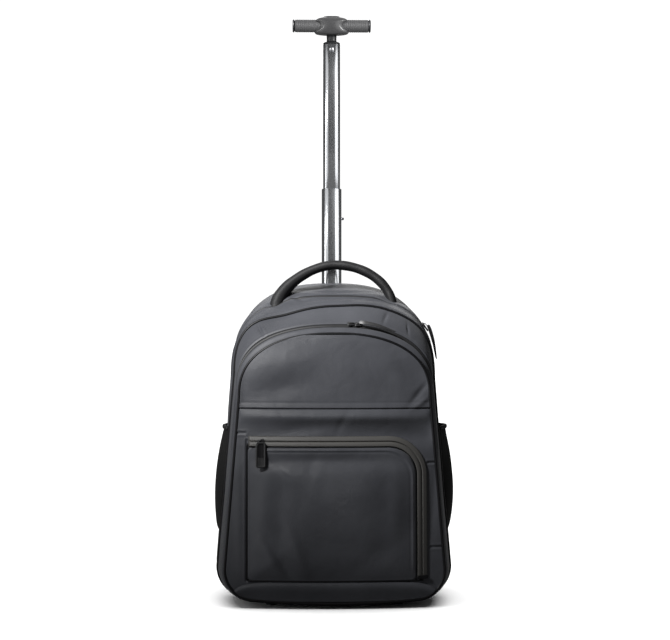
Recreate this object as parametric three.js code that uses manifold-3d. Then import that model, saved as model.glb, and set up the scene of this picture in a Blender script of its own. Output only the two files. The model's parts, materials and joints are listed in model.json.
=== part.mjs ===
// A wheeled backpack, standing on two rear wheels and two front feet, with its telescopic pole
// drawn right out and its T-shaped grip on top. The cloth body has a main compartment, a shallower
// organiser compartment in front of it and a zipped pocket on its face, each really hollow.
// Millimetres, +Z up. +X is to the right of someone facing the bag, and its front looks along -Y.
// The origin is on the floor, under the middle of the bag.

import * as THREE from "three";
import { mergeVertices } from "three/addons/utils/BufferGeometryUtils.js";
import Module from "manifold-3d";

const wasm = await Module();
wasm.setup();

// Cloth and the clearances between neighbouring pieces
const CLOTH = 2;
const GAP = 0.3;
const PIPING = 4.4;
const PIPING_PROUD = 1;

// The cloth body
const BAG_HEIGHT = 490;
const BAG_WIDTH = 366;
const BAG_DEPTH = 190;
const WHEEL_SHELF = 82;
const FACE_CROWN = 8;
const FACE_LIFT = 0.8;
const BACK_CROWN = 2;

// The zips let into the two gussets
const ZIP_WIDTH = 8;
const ZIP_THICK = 1.6;
const ZIP_RIDGE = 1.4;
const ORGANISER_ZIP_DEPTH = 13;
const MAIN_ZIP_DEPTH = 0.526 * BAG_DEPTH;

// The face below the seam: pocket, its zip and the band along the foot
const SEAM_HEIGHT = 0.612 * BAG_HEIGHT;
const POCKET_LEFT = -0.358 * BAG_WIDTH;
const POCKET_RIGHT = 0.3333 * BAG_WIDTH;
const POCKET_FOOT = 42;
const POCKET_TOP = 241;
const POCKET_CORNER = 8;
const POCKET_SHOULDER = 42;
const POCKET_EDGE = 7;
const POCKET_PUFF = 13;
const POCKET_ZIP_WIDTH = 14.5;
const POCKET_ZIP_THICK = 2.4;
const SLIDER_WIDTH = 8;
const SLIDER_LENGTH = 12;
const SLIDER_HEIGHT = 4;
const PULL_WIDTH = 6;
const PULL_THICK = 1.6;
const ORGANISER_SLIDER_AROUND = 0.47;
const MAIN_SLIDER_AROUND = 0.325;
const BAND_TOP = 38;
const BAND_HALF_WIDTH = 0.426 * BAG_WIDTH;

// The carry handle on top
const HANDLE_SPAN = 198;
const HANDLE_RISE = 77;
const HANDLE_THICK = 15;
const HANDLE_WIDE = 30;
const HANDLE_DEPTH = 0.684 * BAG_DEPTH;
const HANDLE_OFFSET = 3;

// The side pockets
const SIDE_POCKET_FOOT = 108;
const SIDE_POCKET_TOP = 262;
const SIDE_POCKET_FRONT = 0.358 * BAG_DEPTH;
const SIDE_POCKET_BACK = 0.842 * BAG_DEPTH;
const SIDE_POCKET_MOUTH = 8;
const SIDE_POCKET_HEM = 4;
const SIDE_POCKET_BULGE = { left: 9, right: 13 };

// The wheels and the moulded base between them
const WHEEL_RADIUS = 34;
const WHEEL_WIDTH = 24;
const WHEEL_MIDDLE = BAG_WIDTH / 2 - 42;
const WHEEL_CLEARANCE = 3;
const AXLE_DEPTH = BAG_DEPTH + 8;
const AXLE_RADIUS = 4;
const TYRE_THICK = 9;
const CHEEK = 4;
const BASE_FLOOR_GAP = 9;
const BASE_WALL = 3;
const BASE_FRONT = BAG_DEPTH - 56;
const BASE_BACK = BAG_DEPTH + 22;
const FOOT_ACROSS = 0.26 * BAG_WIDTH;
const FOOT_DEPTH = 0.184 * BAG_DEPTH;
const FOOT_RADIUS = 10;
const FOOT_HEIGHT = 6;

// The telescopic pole: an oval section with flat faces, three tubes one in another
const POLE_DEPTH = BAG_DEPTH + 21.5;
const TUBE_WALL = 1.9;
const UPPER_TUBE_WIDTH = 27.8;
const UPPER_TUBE_DEEP = 18.3;
const UPPER_TUBE_LENGTH = 295;
const UPPER_TUBE_SHOWS = 235;
const LOWER_TUBE_LENGTH = 300;
const LOWER_TUBE_SHOWS = 164;
const COLLAR_WALL = 3;
const COLLAR_HEIGHT = 22;
const COLLAR_TOP = 480;
const SOCKET_FOOT = 58;
const SOCKET_FLOOR = 8;
const SOCKET_TOP = 108;
const SOCKET_FRONT = BAG_DEPTH + 5.8;
const NUB_DROP = 48.5;
const NUB_RADIUS = 3;
const NUB_PROUD = 4;
const NUB_FALL = 172;
const RIVET_DROP = 9;
const RIVET_SHANK = 1.8;
const RIVET_HEAD = 3.2;
const RIVET_LENGTH = 5;

// The T-shaped grip
const NECK_HEIGHT = 15;
const NECK_WIDTH = 16;
const PLUG_LENGTH = 30;
const HUB_WIDTH = 55;
const HUB_HEIGHT = 28;
const HUB_DEEP = 30;
const GRIP_LENGTH = 127;
const GRIP_RADIUS = 10.6;
const GRIP_RISE = 15;
const CAP_LENGTH = 3;
const CAP_PEG = 4;
const PEG_RADIUS = 7;
const PEG_LENGTH = 9;
const BUTTON_WIDTH = 27;
const BUTTON_DEEP = 13;
const BUTTON_PROUD = 3;
const BUTTON_SUNK = 5;
const BUTTON_TRAVEL = 3;

// The padded back and the shoulder straps
const PAD_THICK = 13;
const PAD_INNER = 28;
const PAD_OUTER = BAG_WIDTH / 2 - 37;
const PAD_CORNER = 26;
const PAD_SHOULDER = 52;
const PAD_INNER_CORNER = 12;
const PAD_TAPER = 14;
const PAD_FOOT = 118;
const PAD_TOP = 440;
const STRAP_WIDTH = 58;
const STRAP_THICK = 10;
const STRAP_REACH = 34;
const STRAP_TOP = 440;
const STRAP_END = 190;
const STRAP_START = 60;
const STRAP_FINISH = BAG_WIDTH / 2 - 91;
const LOCK_WIDTH = 36;
const LOCK_HEIGHT = 24;
const LOCK_SLOT = 5;
const WEBBING_WIDTH = 25;
const WEBBING_THICK = 2;
const WEBBING_ACROSS = BAG_WIDTH / 2 - 55;
const WEBBING_FOOT = 106;

// Colours and finishes
const finish = (color, roughness, metalness = 0) =>
  new THREE.MeshStandardMaterial({ color, roughness, metalness });
const CLOTH_GREY = finish(0x3a3b3f, 0.62);
const MESH_BLACK = finish(0x141414, 0.9);
const PIPING_BLACK = finish(0x1b1c1e, 0.6);
const ZIP_BLACK = finish(0x1d1d1e, 0.5);
const PAD_BLACK = finish(0x1c1c1e, 0.95);
const GRIP_GREY = finish(0x4a4a4a, 0.45);
const BASE_BLACK = finish(0x17181a, 0.5);
const ALUMINIUM = finish(0xc4c6c9, 0.2, 1);
const STEEL = finish(0xa8aaad, 0.3, 1);
const RUBBER = finish(0x111111, 0.8);

// Outlines of the body from the front to the back. deep and lean are shares of the depth, the
// heights (foot, sag, shoulder, top) of the height, and the widths and the corner of half the width.
// A row leans back by its lean at full height and bows forward by its bow in the middle.
const SECTIONS = [
  { name: "front", deep: 0, lean: 0.158, bow: 0.074, foot: 0.012, sag: 0.01, corner: 0.25,
    wideFoot: 0.913, wideShoulder: 0.797, shoulder: 0.645, top: 0.841, power: 2.35 },
  { name: "organiser", deep: 0.158, lean: 0.105, bow: 0.047, foot: 0.005, sag: 0.01, corner: 0.25,
    wideFoot: 0.956, wideShoulder: 0.826, shoulder: 0.694, top: 0.89, power: 2.6 },
  { name: "divider", deep: 0.305, lean: 0.063, bow: 0.026, foot: 0.008, sag: 0.01, corner: 0.25,
    wideFoot: 0.973, wideShoulder: 0.836, shoulder: 0.72, top: 0.922, power: 2.8 },
  { name: "middle", deep: 0.59, lean: 0.021, bow: 0, foot: 0.018, sag: 0.01, corner: 0.25,
    wideFoot: 1, wideShoulder: 0.885, shoulder: 0.7, top: 0.973, power: 2.5 },
  { name: "before_shelf", deep: 0.674, lean: 0.01, bow: 0, foot: 0.024, sag: 0.006, corner: 0.25,
    wideFoot: 0.995, wideShoulder: 0.884, shoulder: 0.7, top: 0.979, power: 2.5 },
  { name: "on_shelf", deep: 0.768, lean: 0, bow: 0, foot: WHEEL_SHELF / BAG_HEIGHT, sag: 0,
    corner: 0.22, wideFoot: 0.95, wideShoulder: 0.876, shoulder: 0.7, top: 0.986, power: 2.55 },
  { name: "back", deep: 1, lean: 0, bow: 0, foot: WHEEL_SHELF / BAG_HEIGHT, sag: 0, corner: 0.22,
    wideFoot: 0.918, wideShoulder: 0.852, shoulder: 0.7, top: 1, power: 2.6 },
];

// Where the cloth has fallen in or pushed out. around runs from the middle of the foot (0) up the
// right side (0.25) over the top (0.5) and down the left, deep is a share of the depth, and the
// spans are how far each dent reaches. in is a share of the height, and negative pushes out.
const DENTS = [
  { name: "left_shoulder", around: 0.57, deep: 0.29, spanAround: 0.05, spanDeep: 0.14, in: 0.016 },
  { name: "right_crest", around: 0.46, deep: 0.3, spanAround: 0.05, spanDeep: 0.16, in: -0.006 },
  { name: "right_flank", around: 0.27, deep: 0.45, spanAround: 0.06, spanDeep: 0.2, in: 0.006 },
  { name: "left_flank", around: 0.73, deep: 0.45, spanAround: 0.06, spanDeep: 0.2, in: 0.006 },
  { name: "top_fold", around: 0.5, deep: 0.48, spanAround: 0.07, spanDeep: 0.07, in: 0.008 },
];

// Steps of one half of an outline, from the middle of the foot to the middle of the top
const HALF_STEPS = { foot: 2, corner: 3, side: 3, arch: 9 };
const HALF_COUNT = HALF_STEPS.foot + HALF_STEPS.corner + HALF_STEPS.side + HALF_STEPS.arch;
const AROUND_COUNT = 2 * HALF_COUNT;

const mix = (a, b, share) => a + (b - a) * share;
const square = (value) => value * value;
const vector = (point) => new THREE.Vector3(...point);

// A closed mesh from its points and triangles, with its faces turned outwards
function solidGeometry(points, triangles) {
  const six = triangles.reduce(
    (sum, [a, b, c]) => sum + vector(points[a]).dot(vector(points[b]).cross(vector(points[c]))),
    0,
  );
  const geometry = new THREE.BufferGeometry();
  geometry.setAttribute("position", new THREE.Float32BufferAttribute(points.flat(), 3));
  geometry.setIndex(triangles.flatMap(([a, b, c]) => (six < 0 ? [a, c, b] : [a, b, c])));
  geometry.computeVertexNormals();
  return geometry;
}

// A wall between an outer and an inner grid of points. Cells that isOpen are left out, and every
// free edge is closed by a rim, so a slot is just a run of open cells.
function wallGeometry(outer, inner, { wraps = false, isOpen = () => false } = {}) {
  const width = outer[0].length;
  const rows = outer.length - 1;
  const columns = wraps ? width : width - 1;
  const shift = outer.length * width;
  const at = (row, column) => row * width + (column % width);
  const isKept = (row, column) => {
    if (row < 0 || row >= rows) return false;
    if (!wraps && (column < 0 || column >= columns)) return false;
    return !isOpen(row, (column + columns) % columns);
  };
  const triangles = [];
  const quad = (a, b, c, d) => triangles.push([a, b, c], [a, c, d]);
  const rim = (a, b) => quad(b, a, a + shift, b + shift);
  for (let row = 0; row < rows; row++) {
    for (let column = 0; column < columns; column++) {
      if (!isKept(row, column)) continue;
      const [a, b] = [at(row, column), at(row, column + 1)];
      const [c, d] = [at(row + 1, column + 1), at(row + 1, column)];
      quad(a, b, c, d);
      quad(a + shift, d + shift, c + shift, b + shift);
      if (!isKept(row - 1, column)) rim(a, b);
      if (!isKept(row, column + 1)) rim(b, c);
      if (!isKept(row + 1, column)) rim(c, d);
      if (!isKept(row, column - 1)) rim(d, a);
    }
  }
  return solidGeometry([...outer.flat(), ...inner.flat()], triangles);
}

// A plate or dish: rings of points from the rim inwards on both faces, each face with a middle point
function dishGeometry(outer, inner, outerMiddle, innerMiddle) {
  const count = outer[0].length;
  const shift = outer.length * count;
  const middle = 2 * shift;
  const triangles = [];
  const quad = (a, b, c, d) => triangles.push([a, b, c], [a, c, d]);
  for (let k = 0; k < count; k++) {
    const next = (k + 1) % count;
    for (let ring = 0; ring + 1 < outer.length; ring++) {
      const [a, b] = [ring * count + k, ring * count + next];
      const [c, d] = [b + count, a + count];
      quad(a, b, c, d);
      quad(a + shift, d + shift, c + shift, b + shift);
    }
    const last = (outer.length - 1) * count;
    triangles.push([last + k, last + next, middle]);
    triangles.push([last + next + shift, last + k + shift, middle + 1]);
    quad(next, k, k + shift, next + shift);
  }
  const points = [...outer.flat(), ...inner.flat(), outerMiddle, innerMiddle];
  return solidGeometry(points, triangles);
}

// A bar carried through stations. Each station has its middle (at) and its half sizes (wide along
// the across direction, thick square to it); power 2 is an oval section, more is squarer.
function barGeometry(stations, { sides, across, power = 2, closed = false }) {
  const count = stations.length;
  const points = stations.flatMap(({ at, wide, thick }, k) => {
    const before = vector(stations[closed ? (k + count - 1) % count : Math.max(k - 1, 0)].at);
    const after = vector(stations[closed ? (k + 1) % count : Math.min(k + 1, count - 1)].at);
    const along = after.sub(before).normalize();
    const side = vector(across).addScaledVector(along, -along.dot(vector(across))).normalize();
    const up = new THREE.Vector3().crossVectors(along, side);
    return Array.from({ length: sides }, (_, n) => {
      const angle = (2 * Math.PI * (n + 0.5)) / sides;
      const bend = (value) => Math.sign(value) * Math.abs(value) ** (2 / power);
      return vector(at)
        .addScaledVector(side, wide * bend(Math.cos(angle)))
        .addScaledVector(up, thick * bend(Math.sin(angle)))
        .toArray();
    });
  });
  const triangles = [];
  for (let k = 0; k < (closed ? count : count - 1); k++) {
    for (let n = 0; n < sides; n++) {
      const [a, b] = [k * sides + n, k * sides + ((n + 1) % sides)];
      const next = ((k + 1) % count) * sides;
      const [c, d] = [next + ((n + 1) % sides), next + n];
      triangles.push([a, b, c], [a, c, d]);
    }
  }
  if (!closed) {
    const last = (count - 1) * sides;
    for (let n = 1; n + 1 < sides; n++) {
      triangles.push([0, n + 1, n], [last, last + n, last + n + 1]);
    }
  }
  return solidGeometry(points, triangles);
}

// A three.js geometry as a manifold solid, and back again
function toManifold(geometry) {
  const bare = geometry.clone();
  bare.deleteAttribute("normal");
  bare.deleteAttribute("uv");
  const merged = mergeVertices(bare, 1e-4);
  return new wasm.Manifold(
    new wasm.Mesh({
      numProp: 3,
      vertProperties: merged.attributes.position.array,
      triVerts: new Uint32Array(merged.index.array),
    }),
  );
}

function toGeometry(manifold) {
  const { numProp, numVert, vertProperties, triVerts } = manifold.getMesh();
  const points = Array.from({ length: numVert }, (_, k) => [
    ...vertProperties.subarray(k * numProp, k * numProp + 3),
  ]);
  const triangles = Array.from({ length: triVerts.length / 3 }, (_, k) => [
    ...triVerts.subarray(3 * k, 3 * k + 3),
  ]);
  return solidGeometry(points, triangles);
}

const cut = (whole, ...tools) =>
  toGeometry(tools.reduce((left, tool) => left.subtract(toManifold(tool)), toManifold(whole)));

const boxBetween = (low, high) =>
  new THREE.BoxGeometry(...high.map((value, k) => value - low[k])).translate(
    ...high.map((value, k) => (value + low[k]) / 2),
  );

// A cylinder along X
const cylinderAcross = (radius, from, to, depth, height, segments) =>
  new THREE.CylinderGeometry(radius, radius, to - from, segments)
    .rotateZ(Math.PI / 2)
    .translate((from + to) / 2, depth, height);

const group = new THREE.Group();
const place = (name, geometry, material) => {
  const mesh = new THREE.Mesh(geometry, material);
  mesh.name = name;
  group.add(mesh);
  return mesh;
};

// The body's outline at a share of the depth, with every column of the table blended
function sectionAt(deep) {
  const next = Math.max(1, SECTIONS.findIndex((row) => row.deep >= deep - 1e-9));
  const [a, b] = [SECTIONS[next - 1], SECTIONS[next]];
  const share = (deep - a.deep) / (b.deep - a.deep);
  const blended = { name: b.name };
  for (const column of Object.keys(a)) {
    if (column !== "name") blended[column] = mix(a[column], b[column], share);
  }
  return blended;
}

// One half of an outline as x and z: the sagging foot, the round corner, the leaning side and the
// arch over the top, which is a quarter of a squarish ellipse
function halfOutline(section) {
  const half = BAG_WIDTH / 2;
  const corner = section.corner * half;
  const cornerStart = section.wideFoot * half - corner;
  const foot = section.foot * BAG_HEIGHT;
  const sag = section.sag * BAG_HEIGHT;
  const sideFoot = [section.wideFoot * half, foot + sag + corner];
  const sideTop = [section.wideShoulder * half, section.shoulder * BAG_HEIGHT];
  const archHeight = section.top * BAG_HEIGHT - sideTop[1];
  const points = [];
  for (let k = 0; k < HALF_STEPS.foot; k++) {
    const share = k / HALF_STEPS.foot;
    points.push([share * cornerStart, foot + sag * square(share)]);
  }
  for (let k = 0; k < HALF_STEPS.corner; k++) {
    const angle = (Math.PI / 2) * (k / HALF_STEPS.corner);
    points.push([
      cornerStart + corner * Math.sin(angle),
      foot + sag + corner * (1 - Math.cos(angle)),
    ]);
  }
  for (let k = 0; k < HALF_STEPS.side; k++) {
    const share = k / HALF_STEPS.side;
    points.push([mix(sideFoot[0], sideTop[0], share), mix(sideFoot[1], sideTop[1], share)]);
  }
  for (let k = 0; k <= HALF_STEPS.arch; k++) {
    const angle = (Math.PI / 2) * (k / HALF_STEPS.arch);
    points.push([
      sideTop[0] * Math.max(Math.cos(angle), 0) ** (2 / section.power),
      sideTop[1] + archHeight * Math.sin(angle) ** (2 / section.power),
    ]);
  }
  return points;
}

const dentAt = (around, deep) =>
  DENTS.reduce((sum, dent) => {
    const aside = square((around - dent.around) / dent.spanAround);
    const along = square((deep - dent.deep) / dent.spanDeep);
    return sum + dent.in * BAG_HEIGHT * Math.exp(-aside - along);
  }, 0);

// How far behind the front of the bag a point of a section lies
function depthOf(section, x, z) {
  const bow = section.bow * (1 - square(x / ((section.wideFoot * BAG_WIDTH) / 2)));
  return BAG_DEPTH * (section.deep + section.lean * (z / BAG_HEIGHT) - bow);
}

// A whole outline of the body at a depth in millimetres, set in from the skin by inset
function ringAt(depth, inset = 0) {
  const deep = depth / BAG_DEPTH;
  const section = sectionAt(deep);
  const right = halfOutline(section);
  const left = right.slice(1, -1).reverse().map(([x, z]) => [-x, z]);
  const flat = [...right, ...left];
  return flat.map(([x, z], k) => {
    const [bx, bz] = flat[(k + AROUND_COUNT - 1) % AROUND_COUNT];
    const [ax, az] = flat[(k + 1) % AROUND_COUNT];
    const length = Math.hypot(ax - bx, az - bz);
    const move = inset + dentAt(k / AROUND_COUNT, deep);
    const at = [x - (move * (az - bz)) / length, z + (move * (ax - bx)) / length];
    return [at[0], depthOf(section, x, z), at[1]];
  });
}

// A point of the skin at a share around it, on the flat facets between the ring's points
function skinPoint(around, depth, inset = 0) {
  const ring = ringAt(depth, inset);
  const place = around * AROUND_COUNT;
  const k = Math.floor(place);
  return ring[k].map((value, n) => mix(value, ring[(k + 1) % AROUND_COUNT][n], place - k));
}

const shiftY = (points, by) => points.map(([x, y, z]) => [x, y + by, z]);

// Whether a step round the outline belongs to the part that a zip runs over
const zipRuns = (steps) => (column) =>
  column >= steps && column < AROUND_COUNT - steps;

// A gusset is the band of cloth round the sides, top and foot, with a slot where its zip is let in
function gusset(name, depths, slotRow, zipStart) {
  const outer = depths.map((depth) => ringAt(depth));
  const inner = depths.map((depth) => ringAt(depth, CLOTH));
  const runs = zipRuns(zipStart);
  const isOpen = (row, column) => row === slotRow && runs(column);
  place(name, wallGeometry(outer, inner, { wraps: true, isOpen }), CLOTH_GREY);
}

// A closed zip: two tapes with the row of teeth standing a little proud between them
function archZip(name, depth, zipStart) {
  const half = ZIP_WIDTH / 2 - GAP;
  const ridge = half / 3;
  const profile = [
    { depth: depth - half, outer: 0, inner: ZIP_THICK },
    { depth: depth - ridge, outer: -ZIP_RIDGE, inner: ZIP_THICK },
    { depth: depth + ridge, outer: -ZIP_RIDGE, inner: ZIP_THICK },
    { depth: depth + half, outer: 0, inner: ZIP_THICK },
  ];
  const run = (ring) => {
    const points = ring.slice(zipStart, AROUND_COUNT - zipStart + 1);
    const trim = (from, to) => {
      const length = vector(from).distanceTo(vector(to));
      return from.map((value, k) => mix(value, to[k], GAP / length));
    };
    const last = points.length - 1;
    const first = trim(points[0], points[1]);
    const final = trim(points[last], points[last - 1]);
    return [first, ...points.slice(1, last), final];
  };
  const outer = profile.map((row) => run(ringAt(row.depth, row.outer)));
  const inner = profile.map((row) => run(ringAt(row.depth, row.inner)));
  place(name, wallGeometry(outer, inner), ZIP_BLACK);
}

// A covered cord sewn into a seam all round the body
function seamPiping(name, ring) {
  const stations = ring.map((at) => ({ at, wide: PIPING / 2, thick: PIPING / 2 }));
  const bar = { sides: 5, across: [0, 1, 0], closed: true };
  place(name, barGeometry(stations, bar), PIPING_BLACK);
}

const ZIP_START = { organiser: 7, main: 8 };
const SEAM_ROOM = PIPING / 2 + 2 * GAP;
const DIVIDER_DEPTH = SECTIONS.find((row) => row.name === "divider").deep * BAG_DEPTH;
const ORGANISER_MIDDLE = SECTIONS.find((row) => row.name === "organiser").deep * BAG_DEPTH;
const rowDepth = (name) => SECTIONS.find((row) => row.name === name).deep * BAG_DEPTH;

gusset(
  "organiser_gusset",
  [
    0,
    ORGANISER_ZIP_DEPTH - ZIP_WIDTH / 2,
    ORGANISER_ZIP_DEPTH + ZIP_WIDTH / 2,
    ORGANISER_MIDDLE,
    DIVIDER_DEPTH - SEAM_ROOM,
  ],
  1,
  ZIP_START.organiser,
);
gusset(
  "main_gusset",
  [
    DIVIDER_DEPTH + SEAM_ROOM,
    MAIN_ZIP_DEPTH - ZIP_WIDTH / 2,
    MAIN_ZIP_DEPTH + ZIP_WIDTH / 2,
    rowDepth("middle"),
    rowDepth("before_shelf"),
    rowDepth("on_shelf"),
    BAG_DEPTH,
  ],
  1,
  ZIP_START.main,
);
archZip("organiser_zip", ORGANISER_ZIP_DEPTH, ZIP_START.organiser);
archZip("main_zip", MAIN_ZIP_DEPTH, ZIP_START.main);
seamPiping("front_piping", shiftY(ringAt(0, PIPING / 2), -SEAM_ROOM));
seamPiping("divider_piping", ringAt(DIVIDER_DEPTH, PIPING / 2 - PIPING_PROUD));
seamPiping("back_piping", shiftY(ringAt(BAG_DEPTH, PIPING / 2), SEAM_ROOM));

// The panel between the two compartments, held in the divider seam
{
  const rim = ringAt(DIVIDER_DEPTH, PIPING - PIPING_PROUD + GAP);
  const middle = [0, depthOf(sectionAt(DIVIDER_DEPTH / BAG_DEPTH), 0, BAG_HEIGHT / 2), BAG_HEIGHT / 2];
  const shifted = (by) => [middle[0], middle[1] + by, middle[2]];
  place(
    "divider_panel",
    dishGeometry(
      [shiftY(rim, -CLOTH / 2)],
      [shiftY(rim, CLOTH / 2)],
      shifted(-CLOTH / 2),
      shifted(CLOTH / 2),
    ),
    CLOTH_GREY,
  );
}

const FRONT = SECTIONS[0];

// Half the width of the front outline at a height, by the same foot, corner, side and arch
function frontHalfWidth(z) {
  const points = halfOutline(FRONT);
  for (let k = 1; k < points.length; k++) {
    if (points[k][1] >= z) {
      const share = (z - points[k - 1][1]) / Math.max(points[k][1] - points[k - 1][1], 1e-6);
      return Math.max(mix(points[k - 1][0], points[k][0], Math.max(share, 0)), 1);
    }
  }
  return 1;
}

// The outer face of the cloth on the front of the bag: the front seam's plane, crowned outwards
const FACE_SEAM = SEAM_ROOM + CLOTH / 2;
function faceDepth(x, z) {
  const low = FRONT.foot * BAG_HEIGHT;
  const high = FRONT.top * BAG_HEIGHT;
  const across = Math.min(Math.abs(x) / frontHalfWidth(z), 1);
  const along = Math.min(Math.abs(z - (low + high) / 2) / ((high - low) / 2), 1);
  const crown = FACE_CROWN * (1 - across ** 2.5) * (1 - along ** 4);
  return depthOf(FRONT, x, z) - FACE_SEAM - crown;
}

// The front face, in two panels that meet at the seam across it
{
  const rim = ringAt(0, PIPING + GAP);
  const middle = [0, (FRONT.foot + FRONT.top) * 0.5 * BAG_HEIGHT];
  const shares = [1, 0.9, 0.76, 0.56, 0.3];
  const rings = (inset) =>
    shares.map((share) =>
      rim.map(([x, , z]) => {
        const [px, pz] = [mix(middle[0], x, share), mix(middle[1], z, share)];
        return [px, faceDepth(px, pz) + inset, pz];
      }),
    );
  const face = dishGeometry(
    rings(0),
    rings(CLOTH),
    [middle[0], faceDepth(...middle), middle[1]],
    [middle[0], faceDepth(...middle) + CLOTH, middle[1]],
  );
  const half = (low, high) => boxBetween([-BAG_WIDTH, -BAG_DEPTH, low], [BAG_WIDTH, BAG_DEPTH, high]);
  const above = half(SEAM_HEIGHT - GAP / 2, 2 * BAG_HEIGHT);
  const below = half(-BAG_HEIGHT, SEAM_HEIGHT + GAP / 2);
  place("front_lower_panel", cut(face, above), CLOTH_GREY);
  place("front_upper_panel", cut(face, below), CLOTH_GREY);
}

// The back wall, a shallow dish set in the back seam
const BACK_FACE = BAG_DEPTH + SEAM_ROOM + CLOTH / 2;
{
  const rim = ringAt(BAG_DEPTH, PIPING + GAP);
  const middle = [0, BACK_FACE, BAG_HEIGHT / 2 + WHEEL_SHELF / 2];
  const flat = (y) => rim.map(([x, , z]) => [x, y, z]);
  place(
    "back_wall",
    dishGeometry(
      [flat(BACK_FACE)],
      [flat(BACK_FACE - CLOTH)],
      middle,
      [middle[0], BACK_FACE - CLOTH - BACK_CROWN, middle[2]],
    ),
    CLOTH_GREY,
  );
}

// Corners of the front pocket, from its foot at the left round to the top: the zip's corner at the
// top right is wide, the sewn ones are tight
function pocketOutline(grow) {
  const corners = [
    { x: POCKET_LEFT, z: POCKET_FOOT, radius: POCKET_CORNER, start: Math.PI, steps: 3 },
    { x: POCKET_RIGHT, z: POCKET_FOOT, radius: POCKET_CORNER, start: 1.5 * Math.PI, steps: 3 },
    { x: POCKET_RIGHT, z: POCKET_TOP, radius: POCKET_SHOULDER, start: 0, steps: 5 },
    { x: POCKET_LEFT, z: POCKET_TOP, radius: POCKET_CORNER, start: 0.5 * Math.PI, steps: 3 },
  ];
  return corners.flatMap(({ x, z, radius, start, steps }) => {
    const inX = x < 0 ? x + radius : x - radius;
    const inZ = z === POCKET_FOOT ? z + radius : z - radius;
    return Array.from({ length: steps + 1 }, (_, k) => {
      const angle = start + (Math.PI / 2) * (k / steps);
      return [inX + (radius + grow) * Math.cos(angle), inZ + (radius + grow) * Math.sin(angle)];
    });
  });
}

// Points are added along the straight stretches, so that the outline follows the crowned face
function spreadOutline(points, longest) {
  return points.flatMap(([x, z], k) => {
    const [nextX, nextZ] = points[(k + 1) % points.length];
    const steps = Math.max(1, Math.ceil(Math.hypot(nextX - x, nextZ - z) / longest));
    return Array.from({ length: steps }, (_, n) => [
      mix(x, nextX, n / steps),
      mix(z, nextZ, n / steps),
    ]);
  });
}

// The front pocket's panel: its edge turns out from the face and its middle is puffed up
{
  const rim = spreadOutline(pocketOutline(0), 42);
  const middle = [(POCKET_LEFT + POCKET_RIGHT) / 2, (POCKET_FOOT + POCKET_TOP) / 2];
  const inner = rim.map(([x, z]) => {
    const away = Math.hypot(x - middle[0], z - middle[1]);
    return [mix(x, middle[0], CLOTH / away), mix(z, middle[1], CLOTH / away)];
  });
  const rows = [
    { share: 1, rise: 0 },
    { share: 0.985, rise: 1 },
    { share: 0.7, rise: mix(POCKET_PUFF, POCKET_EDGE, 0.35) / POCKET_EDGE },
    { share: 0.35, rise: POCKET_PUFF / POCKET_EDGE },
  ];
  const face = (outline, under) =>
    rows.map(({ share, rise }) =>
      outline.map(([x, z]) => {
        const [px, pz] = [mix(middle[0], x, share), mix(middle[1], z, share)];
        const height = rise === 0 ? 0 : rise * POCKET_EDGE - under;
        return [px, faceDepth(px, pz) - FACE_LIFT - height, pz];
      }),
    );
  const top = faceDepth(...middle) - FACE_LIFT - POCKET_PUFF;
  place(
    "front_pocket",
    dishGeometry(
      face(rim, 0),
      face(inner, CLOTH),
      [middle[0], top, middle[1]],
      [middle[0], top + CLOTH, middle[1]],
    ),
    CLOTH_GREY,
  );
}

// The pocket's zip, an L of tape along the pocket's top and down its right side
{
  const line = spreadOutline(pocketOutline(GAP + POCKET_ZIP_WIDTH / 2 + 1), 36).filter(
    ([x, z], k, all) => k < all.length - 1,
  );
  const right = line.filter(([x, z]) => x > 0 && x > POCKET_RIGHT && z > POCKET_FOOT + 8);
  const over = line.filter(([x, z]) => z > POCKET_TOP - POCKET_SHOULDER && x <= POCKET_RIGHT);
  const path = [...right, ...over.filter(([x]) => x > POCKET_LEFT - 1)];
  const half = POCKET_ZIP_WIDTH / 2;
  const stations = path.map(([x, z], k) => {
    const [bx, bz] = path[Math.max(k - 1, 0)];
    const [ax, az] = path[Math.min(k + 1, path.length - 1)];
    const length = Math.hypot(ax - bx, az - bz);
    return { x, z, out: [(az - bz) / length, -(ax - bx) / length] };
  });
  const profile = [
    { aside: -1, rise: POCKET_ZIP_THICK * 0.6 },
    { aside: -0.25, rise: POCKET_ZIP_THICK },
    { aside: 0.25, rise: POCKET_ZIP_THICK },
    { aside: 1, rise: POCKET_ZIP_THICK * 0.6 },
  ];
  const rows = (isOuter) =>
    profile.map(({ aside, rise }) =>
      stations.map(({ x, z, out }) => {
        const [px, pz] = [x + aside * half * out[0], z + aside * half * out[1]];
        return [px, faceDepth(px, pz) - FACE_LIFT - (isOuter ? rise : 0), pz];
      }),
    );
  place("front_pocket_zip", wallGeometry(rows(true), rows(false)), ZIP_BLACK);
}

// The band across the foot of the face, over the lower panel
{
  const columns = 12;
  const rows = [0, 0.5, 1];
  const low = FRONT.foot * BAG_HEIGHT + PIPING + GAP;
  const surface = (rise) =>
    rows.map((share) =>
      Array.from({ length: columns + 1 }, (_, k) => {
        const z0 = mix(low + CLOTH, BAND_TOP, share);
        const across = mix(-1, 1, k / columns);
        const x = across * Math.min(BAND_HALF_WIDTH, frontHalfWidth(z0) - PIPING - 3 * CLOTH);
        const z = z0 + FRONT.sag * BAG_HEIGHT * square(across) * (1 - share);
        return [x, faceDepth(x, z) - FACE_LIFT - rise, z];
      }),
    );
  place("foot_band", wallGeometry(surface(CLOTH), surface(0)), CLOTH_GREY);
}

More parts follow.
